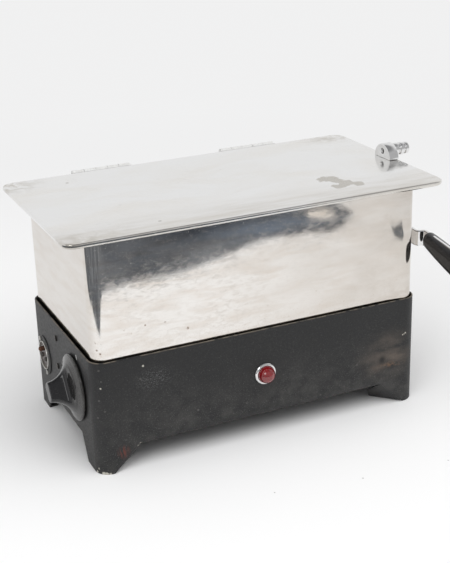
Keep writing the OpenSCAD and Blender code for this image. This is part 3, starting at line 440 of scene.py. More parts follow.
def perimeter(tree, place):
    # (x + y, z, x - y): runs along a wall whichever way it faces
    parts = add(tree, "SeparateXYZ", {0: place}).outputs
    along = calc(tree, "ADD", parts[0], parts[1])
    across = calc(tree, "SUBTRACT", parts[0], parts[1])
    return add(tree, "CombineXYZ", {0: along, 1: parts[2], 2: across}).outputs[0], parts


# x, y and z values in these looks are metres in the frame; lines are (turn, across, along, keep)
bathLook = {
    # the dull colour is also painted shade on the tank's left end, by the end share past the end's x
    "tone": (0.83, 0.805, 0.775, 1), "warm": (0.70, 0.635, 0.57, 1), "dull": (0.60, 0.555, 0.505, 1),
    "haze": (0.70, 0.66, 0.615, 1), "mark": (0.46, 0.38, 0.30, 1), "pit": (0.30, 0.22, 0.16, 1),
    "grime": (0.55, 0.48, 0.41, 1), "warmShare": 0.85, "grimeShare": 0.4, "endShadeShare": 0.42,
    "dullX": (-0.060, 0.150), "endShadeX": (-0.171, -0.1745), "markZ": (0.215, 0.125), "grimeZ": (0.138, 0.112),
    "roughness": 0.045, "scuffed": 0.045, "scratched": 0.22, "hazed": 0.09, "pitted": 0.3,
    "swell": 0.0006, "ripple": 0.000025, "grain": 0.000004,
    "lines": [(0.10, 1500.0, 60.0, 0.69), (0.75, 1500.0, 70.0, 0.71), (-0.62, 1500.0, 90.0, 0.71)]}
# small marks are (x, y, z, radius) in mm from the base's middle
bathPits = [(-168.0, -85.5, 153.0, 1.5), (-162.5, -88.0, 124.0, 0.8), (-160.0, -89.6, 120.5, 0.8),
    (-163.5, -87.5, 131.0, 0.6), (-75.7, -90.7, 128.5, 1.1), (-116.9, -90.7, 140.1, 0.7),
    (-97.7, -90.7, 139.1, 0.6)]


def bathSteel(look):
    material, tree, shader, place = startMaterial("bathSteel", Metallic=1.0)
    wall, parts = perimeter(tree, place)
    lines = scratches(tree, wall, look["lines"])
    scuffs = clouded(tree, wall, 45.0, 5.0, 0.42, 0.68, stretch=(1.0, 2.2, 1.0), warp=1.2)
    streaks = clouded(tree, wall, 24.0, 5.0, 0.44, 0.72, stretch=(0.5, 5.0, 1.0), warp=0.4)
    pits = spots(tree, ragged(tree, place, 700.0, 0.0015), bathPits, 0.0005)
    # duller towards the right end, and by a fixed share past the left end's x, which is painted shade: the
    # left end reflects the floor in its soft shadow
    dull = clouded(tree, wall, 15.0, 5.0, 0.25, 0.60, 0.45, 1.0, stretch=(0.7, 3.0, 1.0), warp=0.5)
    dull = times(tree, span(tree, parts[0], *look["dullX"]), dull)
    dull = most(tree, dull, span(tree, parts[0], *look["endShadeX"], 0.0, look["endShadeShare"]))
    haze = clouded(tree, wall, 130.0, 6.0, 0.46, 0.66, stretch=(0.35, 2.6, 1.0), turn=(0, 0, 0.12), warp=0.6)
    haze = times(tree, haze, clouded(tree, place, 14.0, 3.0, 0.38, 0.62, 0.15, 0.8))
    marks = clouded(tree, wall, 330.0, 3.0, 0.69, 0.76)
    lower = span(tree, parts[2], *look["markZ"], 0.12, 0.6)
    grime = times(tree, span(tree, parts[2], *look["grimeZ"]), clouded(tree, place, 620.0, 4.0, 0.50, 0.72))
    layers = [("warm", streaks, look["warmShare"]), ("pit", pits, 1.0), ("dull", dull, 1.0),
        ("haze", haze, 1.0), ("mark", marks, lower), ("grime", grime, look["grimeShare"])]
    paint(tree, shader, layered(tree, look, layers))
    rough(tree, shader, look["roughness"], (scuffs, look["scuffed"]), (lines, look["scratched"]),
        (haze, look["hazed"]), (pits, look["pitted"]))
    swell = cloudy(tree, place, 11.0, 1.5)
    ripple = cloudy(tree, place, 55.0, 3.0)
    grain = cloudy(tree, place, 900.0, 3.0)
    relief(tree, shader, [(swell, look["swell"]), (ripple, look["ripple"]), (lines, look["grain"]),
        (grain, look["grain"])])
    return material


lidTop = 230.7
lidLook = {
    "tone": (0.84, 0.84, 0.835, 1), "warm": (0.80, 0.77, 0.72, 1), "front": (0.66, 0.63, 0.585, 1),
    "corner": (0.56, 0.53, 0.48, 1), "mark": (0.42, 0.39, 0.35, 1), "stain": (0.55, 0.525, 0.48, 1),
    "pit": (0.36, 0.34, 0.31, 1), "warmShare": 0.55, "markShare": 0.45, "pitShare": 0.7,
        "frontY": (-0.030, -0.072),
    "topZ": (0.2299, 0.2304), "roughness": 0.10, "clouded": 0.07, "scratched": 0.14, "stained": 0.16,
    "swell": 0.0007, "ripple": 0.00005, "grain": 0.000006,
    "lines": [(0.35, 1500.0, 40.0, 0.64), (-0.15, 1200.0, 35.0, 0.65)]}
# soiled corners, each a centre and its reach in mm
lidCorners = [((-184.0, 92.0, lidTop), (46.0, 40.0, 30.0)), ((-182.0, -98.0, lidTop), (80.0, 36.0, 30.0)),
    ((180.0, 96.0, lidTop), (60.0, 34.0, 30.0))]
lidStains = [(92.0, -40.0, lidTop, 6.5), (98.0, -44.0, lidTop, 8.5), (104.0, -62.0, lidTop, 9.0),
    (114.0, -70.0, lidTop, 6.5), (95.0, -69.0, lidTop, 7.0), (101.0, -53.0, lidTop, 7.0)]
lidPits = [(-129.5, 73.3, lidTop, 1.6), (-93.5, -79.8, lidTop, 1.5), (-108.4, -18.8, lidTop, 0.7),
    (20.0, 40.0, lidTop, 0.7)]


def lidSteel(look):
    material, tree, shader, place = startMaterial("lidSteel", Metallic=1.0)
    parts = add(tree, "SeparateXYZ", {0: place}).outputs
    lines = scratches(tree, place, look["lines"])
    clouds = clouded(tree, place, 13.0, 5.0, 0.42, 0.70, stretch=(1.0, 1.8, 1.0), warp=0.8)
    brushed = clouded(tree, place, 30.0, 4.0, 0.40, 0.70, 0.35, 1.0, stretch=(0.6, 3.0, 1.0))
    front = span(tree, parts[1], *look["frontY"])
    corner = most(tree, *[patchAt(tree, place, centre, reach) for centre, reach in lidCorners])
    uneven = clouded(tree, place, 90.0, 5.0, 0.36, 0.60, warp=0.6)
    marks = clouded(tree, place, 380.0, 2.0, 0.73, 0.79)
    stain = spots(tree, ragged(tree, place, 95.0, 0.016), lidStains, 0.0009)
    stain = times(tree, stain, span(tree, parts[2], *look["topZ"]))  # the top only, not the underside
    pits = spots(tree, ragged(tree, place, 500.0, 0.0015), lidPits, 0.0006)
    layers = [("warm", clouds, look["warmShare"]), ("front", front, brushed), ("corner", corner, uneven),
        ("mark", marks, look["markShare"]), ("stain", stain, 1.0), ("pit", pits, look["pitShare"])]
    paint(tree, shader, layered(tree, look, layers))
    rough(tree, shader, look["roughness"], (clouds, look["clouded"]), (lines, look["scratched"]),
        (stain, look["stained"]))
    swell = cloudy(tree, place, 9.0, 1.5)
    ripple = cloudy(tree, place, 60.0, 2.0)
    relief(tree, shader, [(swell, look["swell"]), (ripple, look["ripple"]), (lines, look["grain"])])
    return material


enamelLook = {
    "tone": (0.0150, 0.0152, 0.0158, 1), "dust": (0.062, 0.060, 0.057, 1), "speckle": (0.13, 0.128, 0.122, 1),
    "scuff": (0.150, 0.122, 0.100, 1), "rust": (0.20, 0.115, 0.065, 1), "darkSpot": (0.014, 0.013, 0.013, 1),
    "smudge": (0.15, 0.040, 0.028, 1), "scrape": (0.17, 0.17, 0.17, 1), "line": (0.12, 0.12, 0.12, 1),
    "edge": (0.16, 0.135, 0.105, 1), "dent": (0.085, 0.082, 0.078, 1), "chip": (0.50, 0.48, 0.42, 1),
    "index": (0.70, 0.70, 0.68, 1), "dustZ": (0.085, 0.018), "speckleZ": (0.105, 0.030),
        "rimZ": (0.1119, 0.1127),
    "roughness": 0.46, "grained": 0.16, "scuffed": 0.15, "dusted": 0.12, "swell": 0.0008, "grain": 0.00009,
        "chipDepth": 0.0001}
# patches on the front, each a centre and its reach in mm
enamelPatches = {
    "scuff": ((136.0, -94.0, 56.0), (42.0, 30.0, 34.0)), "rust": ((138.0, -94.0, 44.5), (24.0, 12.0, 4.5)),
    "darkSpot": ((129.8, -94.0, 51.8), (6.0, 6.0, 7.0)), "smudge": ((-145.5, -94.0, 20.4), (8.0, 8.0, 9.0)),
    "scrape": ((-112.0, -94.0, 88.0), (26.0, 10.0, 16.0))}
enamelChips = [(-162.9, -92.2, 88.1, 0.9), (-122.2, -94.0, 102.3, 0.9), (-168.2, -87.0, 5.5, 0.9),
    (-165.0, -90.7, 1.2, 1.7), (-162.4, -92.4, 0.9, 1.5), (-159.5, -93.3, 0.8, 1.2),
    (-168.9, -84.6, 1.4, 1.2), (-130.7, -94.0, 23.2, 1.0), (-128.8, -94.0, 25.4, 0.7),
    (156.4, -94.0, 75.8, 0.7), (154.9, -94.0, 74.9, 0.55), (153.4, -94.0, 74.3, 0.6)]
enamelDents = [(-163.4, -91.9, 105.9, 0.8), (-162.1, -92.8, 95.0, 0.6), (-160.6, -93.3, 65.0, 0.6),
    (-164.7, -90.9, 76.0, 0.8), (-166.4, -89.4, 58.5, 0.8), (-125.3, -94.0, 90.0, 0.8),
    (60.0, -94.0, 30.0, 0.8), (-70.0, -94.0, 45.0, 0.8), (-20.0, -94.0, 40.0, 0.7), (101.0, -94.0, 52.8, 0.9),
    (-170.0, -66.0, 43.2, 0.8)]
indexLine = [(-170.0, -47.4, 103.6, 1.1), (-170.0, -47.9, 102.2, 1.1), (-170.0, -48.9, 101.0, 0.9)]


def charcoalEnamel(look, patches):
    material, tree, shader, place = startMaterial("charcoalEnamel", IOR=1.45, Specular_IOR_Level=0.42)
    wall, parts = perimeter(tree, place)
    broad = clouded(tree, place, 16.0, 4.0, 0.35, 0.70, 0.35, 1.0)
    fine = clouded(tree, place, 480.0, 3.0, 0.46, 0.72)
    dusty = times(tree, span(tree, parts[2], *look["dustZ"]), clouded(tree, place, 85.0, 5.0, 0.38, 0.66))
    dusty = calc(tree, "MULTIPLY_ADD", fine, 0.35, times(tree, dusty, 0.85))
    speckle = clouded(tree, place, 1150.0, 2.0, 0.60, 0.72)
    lower = span(tree, parts[2], *look["speckleZ"], 0.12, 0.55)
    scuff = clouded(tree, wall, 28.0, 5.0, 0.34, 0.66, stretch=(0.7, 3.0, 1.0), turn=(0, 0, 0.05))
    scuff = times(tree, patchAt(tree, place, *patches["scuff"]), scuff)
    rust = clouded(tree, wall, 210.0, 4.0, 0.38, 0.62, stretch=(0.5, 2.0, 1.0))
    rust = times(tree, patchAt(tree, ragged(tree, place, 180.0, 0.006), *patches["rust"]), rust)
    darkSpot = patchAt(tree, place, *patches["darkSpot"])
    smudge = clouded(tree, wall, 160.0, 3.0, 0.40, 0.56, stretch=(3.0, 0.6, 1.0))
    smudge = times(tree, patchAt(tree, place, *patches["smudge"]), smudge)
    scrape = hairlines(tree, wall, (0, 0, 0.32), 900.0, 45.0, 0.55)
    scrape = times(tree, patchAt(tree, place, *patches["scrape"]), scrape)
    lines = hairlines(tree, wall, (0, 0, 0.15), 1000.0, 35.0, 0.66)
    rim = times(tree, span(tree, parts[2], *look["rimZ"]), clouded(tree, place, 130.0, 3.0, 0.36, 0.56))
    dents = spots(tree, ragged(tree, place, 600.0, 0.0016), enamelDents, 0.0006)
    chips = spots(tree, ragged(tree, place, 700.0, 0.0022), enamelChips, 0.0003)
    index = spots(tree, place, indexLine, 0.0002)
    worn = span(tree, fine, 0.0, 1.0, 0.75, 1.0)
    layers = [("dust", dusty, broad), ("speckle", speckle, lower), ("scuff", scuff, worn),
        ("rust", rust, 0.6), ("darkSpot", darkSpot, 1.0), ("smudge", smudge, 0.85), ("scrape", scrape, 0.5),
        ("line", lines, 0.25), ("edge", rim, 0.8), ("dent", dents, 1.0), ("chip", chips, 1.0),
        ("index", index, 1.0)]
    paint(tree, shader, layered(tree, look, layers))
    rough(tree, shader, look["roughness"], (fine, look["grained"]), (scuff, look["scuffed"]),
        (dusty, look["dusted"]))
    swell = cloudy(tree, place, 7.0, 1.0)
    grain = cloudy(tree, place, 260.0, 3.0)
    relief(tree, shader, [(swell, look["swell"]), (grain, look["grain"]), (chips, -look["chipDepth"])])
    return material


def metalFinish(name, tone, roughness, spread, grainSize, tarnish, tarnishShare, bump):
    # a bare metal whose gloss and tone drift in clouds, with fine hairlines
    material, tree, shader, place = startMaterial(name, Metallic=1.0)
    clouds = clouded(tree, place, grainSize, 4.0, 0.35, 0.70)
    lines = hairlines(tree, place, (0.3, 0.5, 0.4), 1600.0, 90.0, 0.62)
    paint(tree, shader, tinted(tree, tone, tarnish, clouds, tarnishShare))
    rough(tree, shader, roughness, (clouds, spread), (lines, spread))
    relief(tree, shader, [(clouds, bump), (lines, bump * 0.4)])
    return material


def handled(tree, place):
    # the fine marks that handling leaves on a moulding
    return hairlines(tree, place, (0.2, 0.4, 0.9), 1300.0, 80.0, 0.66)


def mouldedFinish(name, tone, roughness, second, grainSize, bump, **sockets):
    # a moulded or fired material with a faint mottle and handling marks
    material, tree, shader, place = startMaterial(name, **sockets)
    clouds = clouded(tree, place, grainSize, 3.0, 0.35, 0.72)
    lines = handled(tree, place)
    paint(tree, shader, tinted(tree, tone, second, clouds, 0.5))
    rough(tree, shader, roughness, (clouds, 0.06), (lines, 0.18))
    relief(tree, shader, [(clouds, bump), (lines, -bump * 0.5)])
    return material


# the worn colour is dust, wear and a painted sheen on the knob's skirt
knobLook = {
    "tone": (0.008, 0.008, 0.009, 1), "worn": (0.050, 0.048, 0.045, 1), "sheenFootX": (-0.1895, -0.1825),
    "roughness": 0.08, "scratched": 0.15, "dusted": 0.14, "mottle": 0.00001, "scratchDepth": 0.000006}


def knobPlastic(look):
    # black and glossy on the bar, greyer towards the skirt's foot, with dust and wear and with a painted
    # sheen where the skirt reflects the room, and in fine scratches
    material, tree, shader, place = startMaterial("knobBlack", IOR=1.5)
    foot = span(tree, add(tree, "SeparateXYZ", {0: place}).outputs[0], *look["sheenFootX"])
    clouds = clouded(tree, place, 260.0, 4.0, 0.30, 0.65, 0.35, 1.0)
    lines = handled(tree, place)
    # the skirt's share of this mask is painted sheen as well as dust
    dusty = most(tree, times(tree, foot, clouds), times(tree, lines, 0.4))
    paint(tree, shader, tinted(tree, look["tone"], look["worn"], dusty))
    rough(tree, shader, look["roughness"], (lines, look["scratched"]), (dusty, look["dusted"]))
    relief(tree, shader, [(clouds, look["mottle"]), (lines, -look["scratchDepth"])])
    return material


finishes = {
    "base_paint": charcoalEnamel(enamelLook, enamelPatches),
    "tank_steel": bathSteel(bathLook),
    "lid_steel": lidSteel(lidLook),
    "chrome": metalFinish("chromePlate", (0.80, 0.80, 0.80, 1), 0.06, 0.05, 200.0, (0.62, 0.61, 0.60, 1),
        0.25, 0.000006),
    "hinge_pale": mouldedFinish("hingePlate", (0.74, 0.74, 0.73, 1), 0.46, (0.64, 0.63, 0.61, 1), 150.0,
        0.00001, Metallic=0.2),
    "zinc_steel": metalFinish("zincPlate", (0.66, 0.65, 0.62, 1), 0.30, 0.10, 260.0, (0.45, 0.43, 0.40, 1),
        0.5, 0.00002),
    "brass": metalFinish("brassParts", (0.72, 0.52, 0.24, 1), 0.26, 0.10, 300.0, (0.42, 0.28, 0.13, 1), 0.55,
        0.00002),
    "tarnished": metalFinish("tarnishedPin", (0.16, 0.085, 0.060, 1), 0.42, 0.12, 500.0,
        (0.07, 0.040, 0.030, 1), 0.7, 0.00003),
    "sheath": metalFinish("heaterSheath", (0.42, 0.41, 0.39, 1), 0.42, 0.10, 220.0, (0.62, 0.60, 0.55, 1),
        0.6, 0.00006),
    "dark_steel": metalFinish("darkScrews", (0.10, 0.095, 0.09, 1), 0.42, 0.10, 500.0, (0.05, 0.045, 0.04, 1),
        0.6, 0.00003),
    "knob_black": knobPlastic(knobLook),
    "grip_black": mouldedFinish("gripBlack", (0.008, 0.008, 0.009, 1), 0.12, (0.018, 0.017, 0.017, 1), 220.0,
        0.00001, IOR=1.55),
    "phenolic": mouldedFinish("phenolicBrown", (0.035, 0.022, 0.017, 1), 0.33, (0.060, 0.038, 0.028, 1),
        500.0, 0.00003, IOR=1.55),
    "rubber": mouldedFinish("sealRubber", (0.030, 0.028, 0.027, 1), 0.70, (0.055, 0.052, 0.048, 1), 600.0,
        0.00006),
    "steatite": mouldedFinish("steatiteBlock", (0.72, 0.69, 0.61, 1), 0.42, (0.60, 0.55, 0.46, 1), 350.0,
        0.00004, IOR=1.5),
    "wire_red": mouldedFinish("wireRed", (0.36, 0.035, 0.028, 1), 0.45, (0.24, 0.028, 0.022, 1), 600.0,
        0.00003),
    "wire_black": mouldedFinish("wireBlack", (0.020, 0.020, 0.021, 1), 0.45, (0.040, 0.038, 0.037, 1), 600.0,
        0.00003),
    "wire_green": mouldedFinish("wireGreen", (0.035, 0.150, 0.050, 1), 0.45, (0.025, 0.095, 0.035, 1), 600.0,
        0.00003),
    "lens_red": mouldedFinish("redJewel", (0.30, 0.003, 0.007, 1), 0.05, (0.20, 0.002, 0.004, 1), 150.0,
        0.00001, IOR=1.52, Transmission_Weight=0.35, Coat_Weight=1.0, Coat_Roughness=0.03, Coat_IOR=1.6),
    "bulb_glass": mouldedFinish("bulbGlass", (0.92, 0.88, 0.80, 1), 0.06, (0.85, 0.78, 0.66, 1), 200.0,
        0.000005, IOR=1.45, Transmission_Weight=0.85),
}
otherFinish = {"grip_rivets": "grip_black", "bottom_plate": "base_paint", "hinge_leaf_left": "hinge_pale",
    "hinge_leaf_right": "hinge_pale", "lid_leaf_left": "hinge_pale", "lid_leaf_right": "hinge_pale",
    "hinge_pins": "hinge_pale", "inlet_screws": "zinc_steel"}
for name, piece in nodes.items():
    slotName = otherFinish.get(name, piece.data.materials[0].name)
    piece.material_slots[0].material = finishes[slotName]
print("finishes made:", len(finishes))


baseSize = {"length": 340.0, "width": 188.0, "height": 113.0, "corner": 14.0, "sheet": 1.5, "cutHeight": 25.0,
    "frontCut": (129.0, 155.0), "endCut": (48.0, 62.0), "toe": 9.0, "toeStart": 0.1,
    "longSteps": (0, 25, 50, 80, 110), "shortSteps": (0, 15, 30), "rises": (0.02, 0.15, 0.35, 0.6, 0.85,
    0.98), "flap": [(129.0, -93.2, 25.0), (154.0, -93.2, 0.8), (130.0, -69.0, 0.8),
    (124.0, -77.0, 12.5)], "flapRound": 1.6, "flapEdge": 0.35}


def bothWays(steps, cut):
    # the steps and the cut's start, middle and end, on both sides of zero
    half = np.array([*steps, cut[0], (cut[0] + cut[1]) / 2, cut[1]], float)
    return np.concatenate([-half[:0:-1], half])


def baseWall(size):
    # the section runs up the outside, over the rim and down the inside; its lower end stands at the
    # cut-out's height there
    cuts = bothWays(size["longSteps"], size["frontCut"]), bothWays(size["shortSteps"], size["endCut"])
    loop, outs = loopAround(size["length"], size["width"], size["corner"], 14, *cuts)
    onFront = np.abs(outs[:, 1]) > 0.999
    along = np.where(onFront, np.abs(loop[:, 0]), np.abs(loop[:, 1]))
    inner, outer = (np.where(onFront, front, end) for front, end in zip(size["frontCut"], size["endCut"]))
    straight = onFront | (np.abs(outs[:, 0]) > 0.999)
    foot = np.where(straight, np.clip((outer - along) / (outer - inner), 0, 1), 0) * size["cutHeight"]
    sheet, top = size["sheet"], size["height"]
    bend = np.linspace(0, math.pi, 7)
    rimOut, rimUp = -sheet / 2 + sheet / 2 * np.cos(bend), top - sheet / 2 + sheet / 2 * np.sin(bend)
    hemOut, hemUp = -sheet / 2 - sheet / 2 * np.cos(bend), sheet / 2 - sheet / 2 * np.sin(bend)
    share = np.array(size["rises"])
    outset = np.concatenate([np.zeros(len(share)), rimOut, np.full(len(share), -sheet), hemOut])
    low, high = foot + sheet / 2, top - sheet / 2
    outside = low + (high - low) * share[:, None]
    rim = np.repeat(rimUp[:, None], len(loop), 1)
    rise = np.concatenate([outside, rim, outside[::-1], foot + hemUp[:, None]])
    flat = loop[None] + outset[:, None, None] * outs[None]
    return np.concatenate([flat, rise[:, :, None]], 2)


def toeStrips(size):
    # a rounded bar section, thickness x toe, carried round each corner between the two cut-outs
    strips = []
    start, end, sheet = -size["toeStart"], -size["toe"], size["sheet"]
    section = softCorners([(start, 0.0), (end, 0.0), (end, sheet), (start, sheet)], 0.5, 3, True)
    turn = np.linspace(0, math.pi / 2, 15)
    for sideX, sideY in ((-1, -1), (1, -1), (1, 1), (-1, 1)):
        outX, outY = np.sin(turn) * sideX, np.cos(turn) * sideY
        middle = np.array([sideX * (size["length"] / 2 - size["corner"]),
            sideY * (size["width"] / 2 - size["corner"])])
        arc = middle + size["corner"] * np.column_stack([outX, outY])
        first = [sideX * size["frontCut"][1], sideY * size["width"] / 2]
        last = [sideX * size["length"] / 2, sideY * size["endCut"][1]]
        path = np.concatenate([[first], arc, [last]])
        outs = np.concatenate([[[0, sideY]], np.column_stack([outX, outY]), [[sideX, 0]]])
        flat = path[:, None] + section[None, :, 0, None] * outs[:, None]
        strips.append((np.concatenate([flat, np.broadcast_to(section[None, :, 1, None],
            flat.shape[:2] + (1,))], 2), False))
    return strips


def foldedFlaps(size):
    # at each slanted edge of the long sides a thin plate turns in: its four corners, thickened along
    # the plate's own normal
    flaps, thin = [], size["flapEdge"]
    for sideX, sideY in ((-1, -1), (1, -1), (1, 1), (-1, 1)):
        plate = np.array(size["flap"]) * np.array([sideX, -sideY, 1.0])
        normal = np.cross(plate[1] - plate[0], plate[2] - plate[0])
        normal /= np.linalg.norm(normal)
        normal *= np.sign(normal[2])
        edge = softCorners(plate, size["flapRound"], 3, True)
        inward = edge.mean(0) - edge
        inset = edge + inward / np.linalg.norm(inward, axis=1, keepdims=True) * thin
        rows = [inset, edge + normal * thin, edge + normal * (size["sheet"] - thin),
            inset + normal * size["sheet"]]
        flaps.append((np.stack(rows), False))
    return flaps


basePatches = [(baseWall(baseSize), True)] + toeStrips(baseSize) + foldedFlaps(baseSize)
makePiece("baseShell", basePatches, "base", "base_paint", ("base_shell",))
print("base made")


bathSize = {"length": 333.4, "width": 181.4, "corner": 12.0, "sheet": 1.2, "bottom": 101.0, "rim": 229.2,
    "flange": 5.0, "inset": 11.6, "bulge": 1.5, "bulgeX": (128, 155), "bulgeY": (-70, -82), "bulgeFoot": 12,
    "bulgeHead": 8}


def bathWall(size):
    # outside from the bottom's middle part up to the flange, over its rolled edge and down the inside
    sheet, bottom, rim, flange, inset = (size[key] for key in ("sheet", "bottom", "rim", "flange", "inset"))
    outer = [(-inset, bottom), (-8.0, bottom), (0.0, bottom), (0.0, bottom + 12), (0.0, bottom + 60),
        (0.0, rim - 6), (0.0, rim - sheet), (flange, rim - sheet), (flange, rim), (-sheet, rim),
        (-sheet, rim - 6), (-sheet, bottom + 60), (-sheet, bottom + 12), (-sheet, bottom + sheet),
        (-8.0, bottom + sheet), (-inset, bottom + sheet)]
    radii = [0, 0.5, 3.5, 0.5, 0.5, 0.5, 0.5, 0.55, 0.55, 1.6, 0.5, 0.5, 0.5, 2.6, 0.5, 0]
    profile = softCorners(outer, radii, 5)
    loop, outs = loopAround(size["length"], size["width"], size["corner"], 16, np.linspace(-150, 150, 25),
        np.linspace(-70, 70, 7))
    grid = carried(loop, outs, profile)
    # the front wall swells forward towards its right end, by bulge times the square of the share of the
    # way there
    x, y, z = np.moveaxis(grid, 2, 0)
    share = np.interp(x, size["bulgeX"], (0, 1)) ** 2 * np.interp(-y, -np.array(size["bulgeY"]), (0, 1))
    tall = np.clip((z - bottom) / size["bulgeFoot"], 0, 1) * np.clip((rim - z) / size["bulgeHead"], 0, 1)
    grid[:, :, 1] -= size["bulge"] * share * tall
    return grid


makePiece("bath", [(bathWall(bathSize), False)], "base", "tank_steel", ("tank",))
print("bath made")


lidLow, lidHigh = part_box("lid_panel")
lidSize = {"top": lidTop, "lip": 4.5, "sheet": 1.2, "corner": 12.0, "bend": 2.6}


def lidPlate(size):
    # the top, its bend, the lip's foot and the inside of the lip, carried round the outline
    low, high = ((np.array(corner) - baseCentre) * 1000 for corner in (lidLow, lidHigh))
    length, width = high[0] - low[0], high[1] - low[1]
    top, foot, sheet = size["top"], size["top"] - size["lip"], size["sheet"]
    outline = [(-11.5, top), (-6.0, top), (0.0, top), (0.0, foot + 1.3), (-0.9, foot), (-2.0, foot + 0.5),
        (-sheet, foot + 1.8), (-sheet, top - sheet), (-6.0, top - sheet), (-11.5, top - sheet)]
    profile = softCorners(outline, [0, 0.5, size["bend"], 0.6, 0.5, 0.4, 0.5, 1.6, 0.5, 0], 6)
    loop, outs = loopAround(length, width, size["corner"], 14, np.linspace(-160, 160, 17),
        np.linspace(-80, 80, 9))
    return carried(loop, outs, profile, ((low[0] + high[0]) / 2, (low[1] + high[1]) / 2))


makePiece("lidPlate", [(lidPlate(lidSize), False)], "lid", "lid_steel", ("lid_panel",))

bossSize = {"x": 181.5, "length": 10.8, "radius": 14.5, "y": -4.0, "foot": lidTop, "holeRadius": 3.0,
    "holeHeight": 237.7, "edge": 0.7}


def bossBlock(size):
    # seen from the hole's axis, the outline is the nearer of the circle and the flat foot; the section
    # goes through the hole, across a face, over the rim and back
    angle = np.arange(120) * 2 * math.pi / 120
    rise = size["holeHeight"] - size["foot"]
    circle = -rise * np.sin(angle) + np.sqrt(size["radius"] ** 2 - (rise * np.cos(angle)) ** 2)
    foot = np.where(np.sin(angle) < -0.01, rise / np.maximum(-np.sin(angle), 0.01), 1e6)
    outline = np.minimum(circle, foot)
    edge, hole, length = size["edge"], np.full_like(angle, size["holeRadius"]), size["length"]
    near = [(hole, 0.3), (hole + 0.15, 0.08), (hole + 0.4, 0.0), (outline - edge * 2, 0.0),
        (outline - edge, 0.0), (outline - edge * 0.35, edge * 0.3), (outline, edge)]
    far = [(out, length - depth) for out, depth in near[::-1]]
    rows = far[-1:] + near + far[:-1]
    reach = np.stack([row[0] for row in rows])
    along = np.array([row[1] for row in rows])[:, None] + np.zeros_like(reach)
    y, z = size["y"] + reach * np.cos(angle), size["holeHeight"] + reach * np.sin(angle)
    return np.stack([size["x"] + along, y, z], 2)


makePiece("lidBoss", [(bossBlock(bossSize), True)], "lid", "chrome", ("lid_boss",))

studSize = {"place": (192.3, -4.0, 237.7), "profile": [(3.0, 0), (4.9, 0), (4.9, 1.6), (6.3, 2.0), (6.3, 6.2),
    (4.9, 6.7), (4.9, 8.2), (6.3, 8.6), (6.3, 12.4), (4.9, 12.8), (4.9, 14.2), (6.0, 14.6), (6.0, 17.8),
    (4.4, 19.0), (1.0, 19.0)]}


def groovedStud(size):
    profile = softCorners(size["profile"], 0.55, 4)
    return spun(profile, size["place"], (1, 0, 0), 64)


makePiece("lidStud", [(groovedStud(studSize), False)], "lid", "chrome", ("lid_stud",))
print("lid made")


def stretches(parts):
    # evenly spaced values along each part (start, end, count)
    return np.unique(np.concatenate([np.linspace(*part) for part in parts]))


knobSize = {"place": (-171.0, -39.0, 68.5), "lean": 36.0, "power": 14.0, "end": 25.5, "edge": 0.9,
    "rows": [(0, 1.2, 6), (1.2, 4.2, 16), (4.2, 7.5, 22), (7.5, 14, 22), (14, 24.6, 14)],
    "edgeRows": [24.9, 25.15, 25.35, 25.47], "skirt": [(0, 31.0), (0.35, 31.7), (1, 32), (1.6, 32),
    (2.1, 31.7), (2.8, 30.8), (3.6, 28.2), (5.1, 24.0), (7.3, 20.3), (9.5, 17.3), (12.3, 14.6), (15.3, 12.6),
    (18.4, 11.2), (21.5, 10.2), (24.5, 9.7), (25.5, 9.4)], "bar": [(0, 40.0), (6.0, 40.0), (6.2, 16.9),
    (6.9, 12.4), (8.3, 9.3), (10.4, 7.2), (13.0, 6.4), (25.5, 6.2)]}


def barKnob(size):
    # at height h the outline is the smooth lesser of the circle R(h) and the strip |x| < B(h): (R^-p +
    # (B/|cos|)^-p)^(-1/p)
    height = np.append(stretches(size["rows"]), size["edgeRows"])
    angle = np.arange(160) * 2 * math.pi / 160
    circle = np.interp(height, *np.array(size["skirt"]).T)[:, None]
    barHeight, barHalf = np.array(size["bar"]).T
    strip = np.exp(np.interp(height, barHeight, np.log(barHalf)))[:, None]
    power, end, edge = size["power"], size["end"], size["edge"]
    reach = (circle ** -power + (strip / np.maximum(np.abs(np.cos(angle)), 0.02)) ** -power) ** (-1 / power)
    drop = np.clip((height - (end - edge)) / edge, 0, 1)[:, None]
    reach = reach - edge * (1 - np.sqrt(np.maximum(0, 1 - drop ** 2)))
    reach = np.concatenate([reach, reach[-1:] - 0.25, reach[-1:] - 1.2])
    height = np.concatenate([height, [end, end]])
    x, y = reach * np.cos(angle), reach * np.sin(angle)
    lean = math.radians(size["lean"])
    across, up = (0.0, math.cos(lean), -math.sin(lean)), (0.0, math.sin(lean), math.cos(lean))
    spine = np.array(size["place"]) + height[:, None, None] * np.array((-1.0, 0, 0))
    return spine + x[:, :, None] * np.array(across) + y[:, :, None] * np.array(up)


makePiece("barKnob", [(barKnob(knobSize), False)], "knob", "knob_black", ("knob",), sharp=32.0)
print("knob made")


lampSize = {"place": (0.0, -94.0, 67.0), "ring": [(6.3, 0.0), (11.0, 0.0), (11.0, 1.1), (10.2, 2.1),
    (8.9, 2.5), (8.4, 2.2), (8.4, 1.0),
    (6.3, 1.0)], "lens": 8.25, "foot": 1.0, "start": 3.3, "rebate": 0.6, "chamfer": 0.3, "tip": 0.12}


def jewelLens(size):
    # a cylinder of the lens radius up to its start, closed there by a half sphere of the same radius
    radius, start, foot = size["lens"], size["start"], size["foot"]
    turn = np.linspace(0, math.pi / 2, 20)[:-1]
    outside = np.column_stack([radius * np.cos(turn), start + radius * np.sin(turn)])
    below = [(radius - size["rebate"], foot), (radius, foot + size["chamfer"])]
    return spun(np.concatenate([below, outside, [(size["tip"], start + radius)]]), size["place"], (0, -1, 0),
        72)


def turnedRing(profile, radius, steps, place, axis, around):
    return [(spun(softCorners(profile, radius, steps, True), place, axis, around), True)]


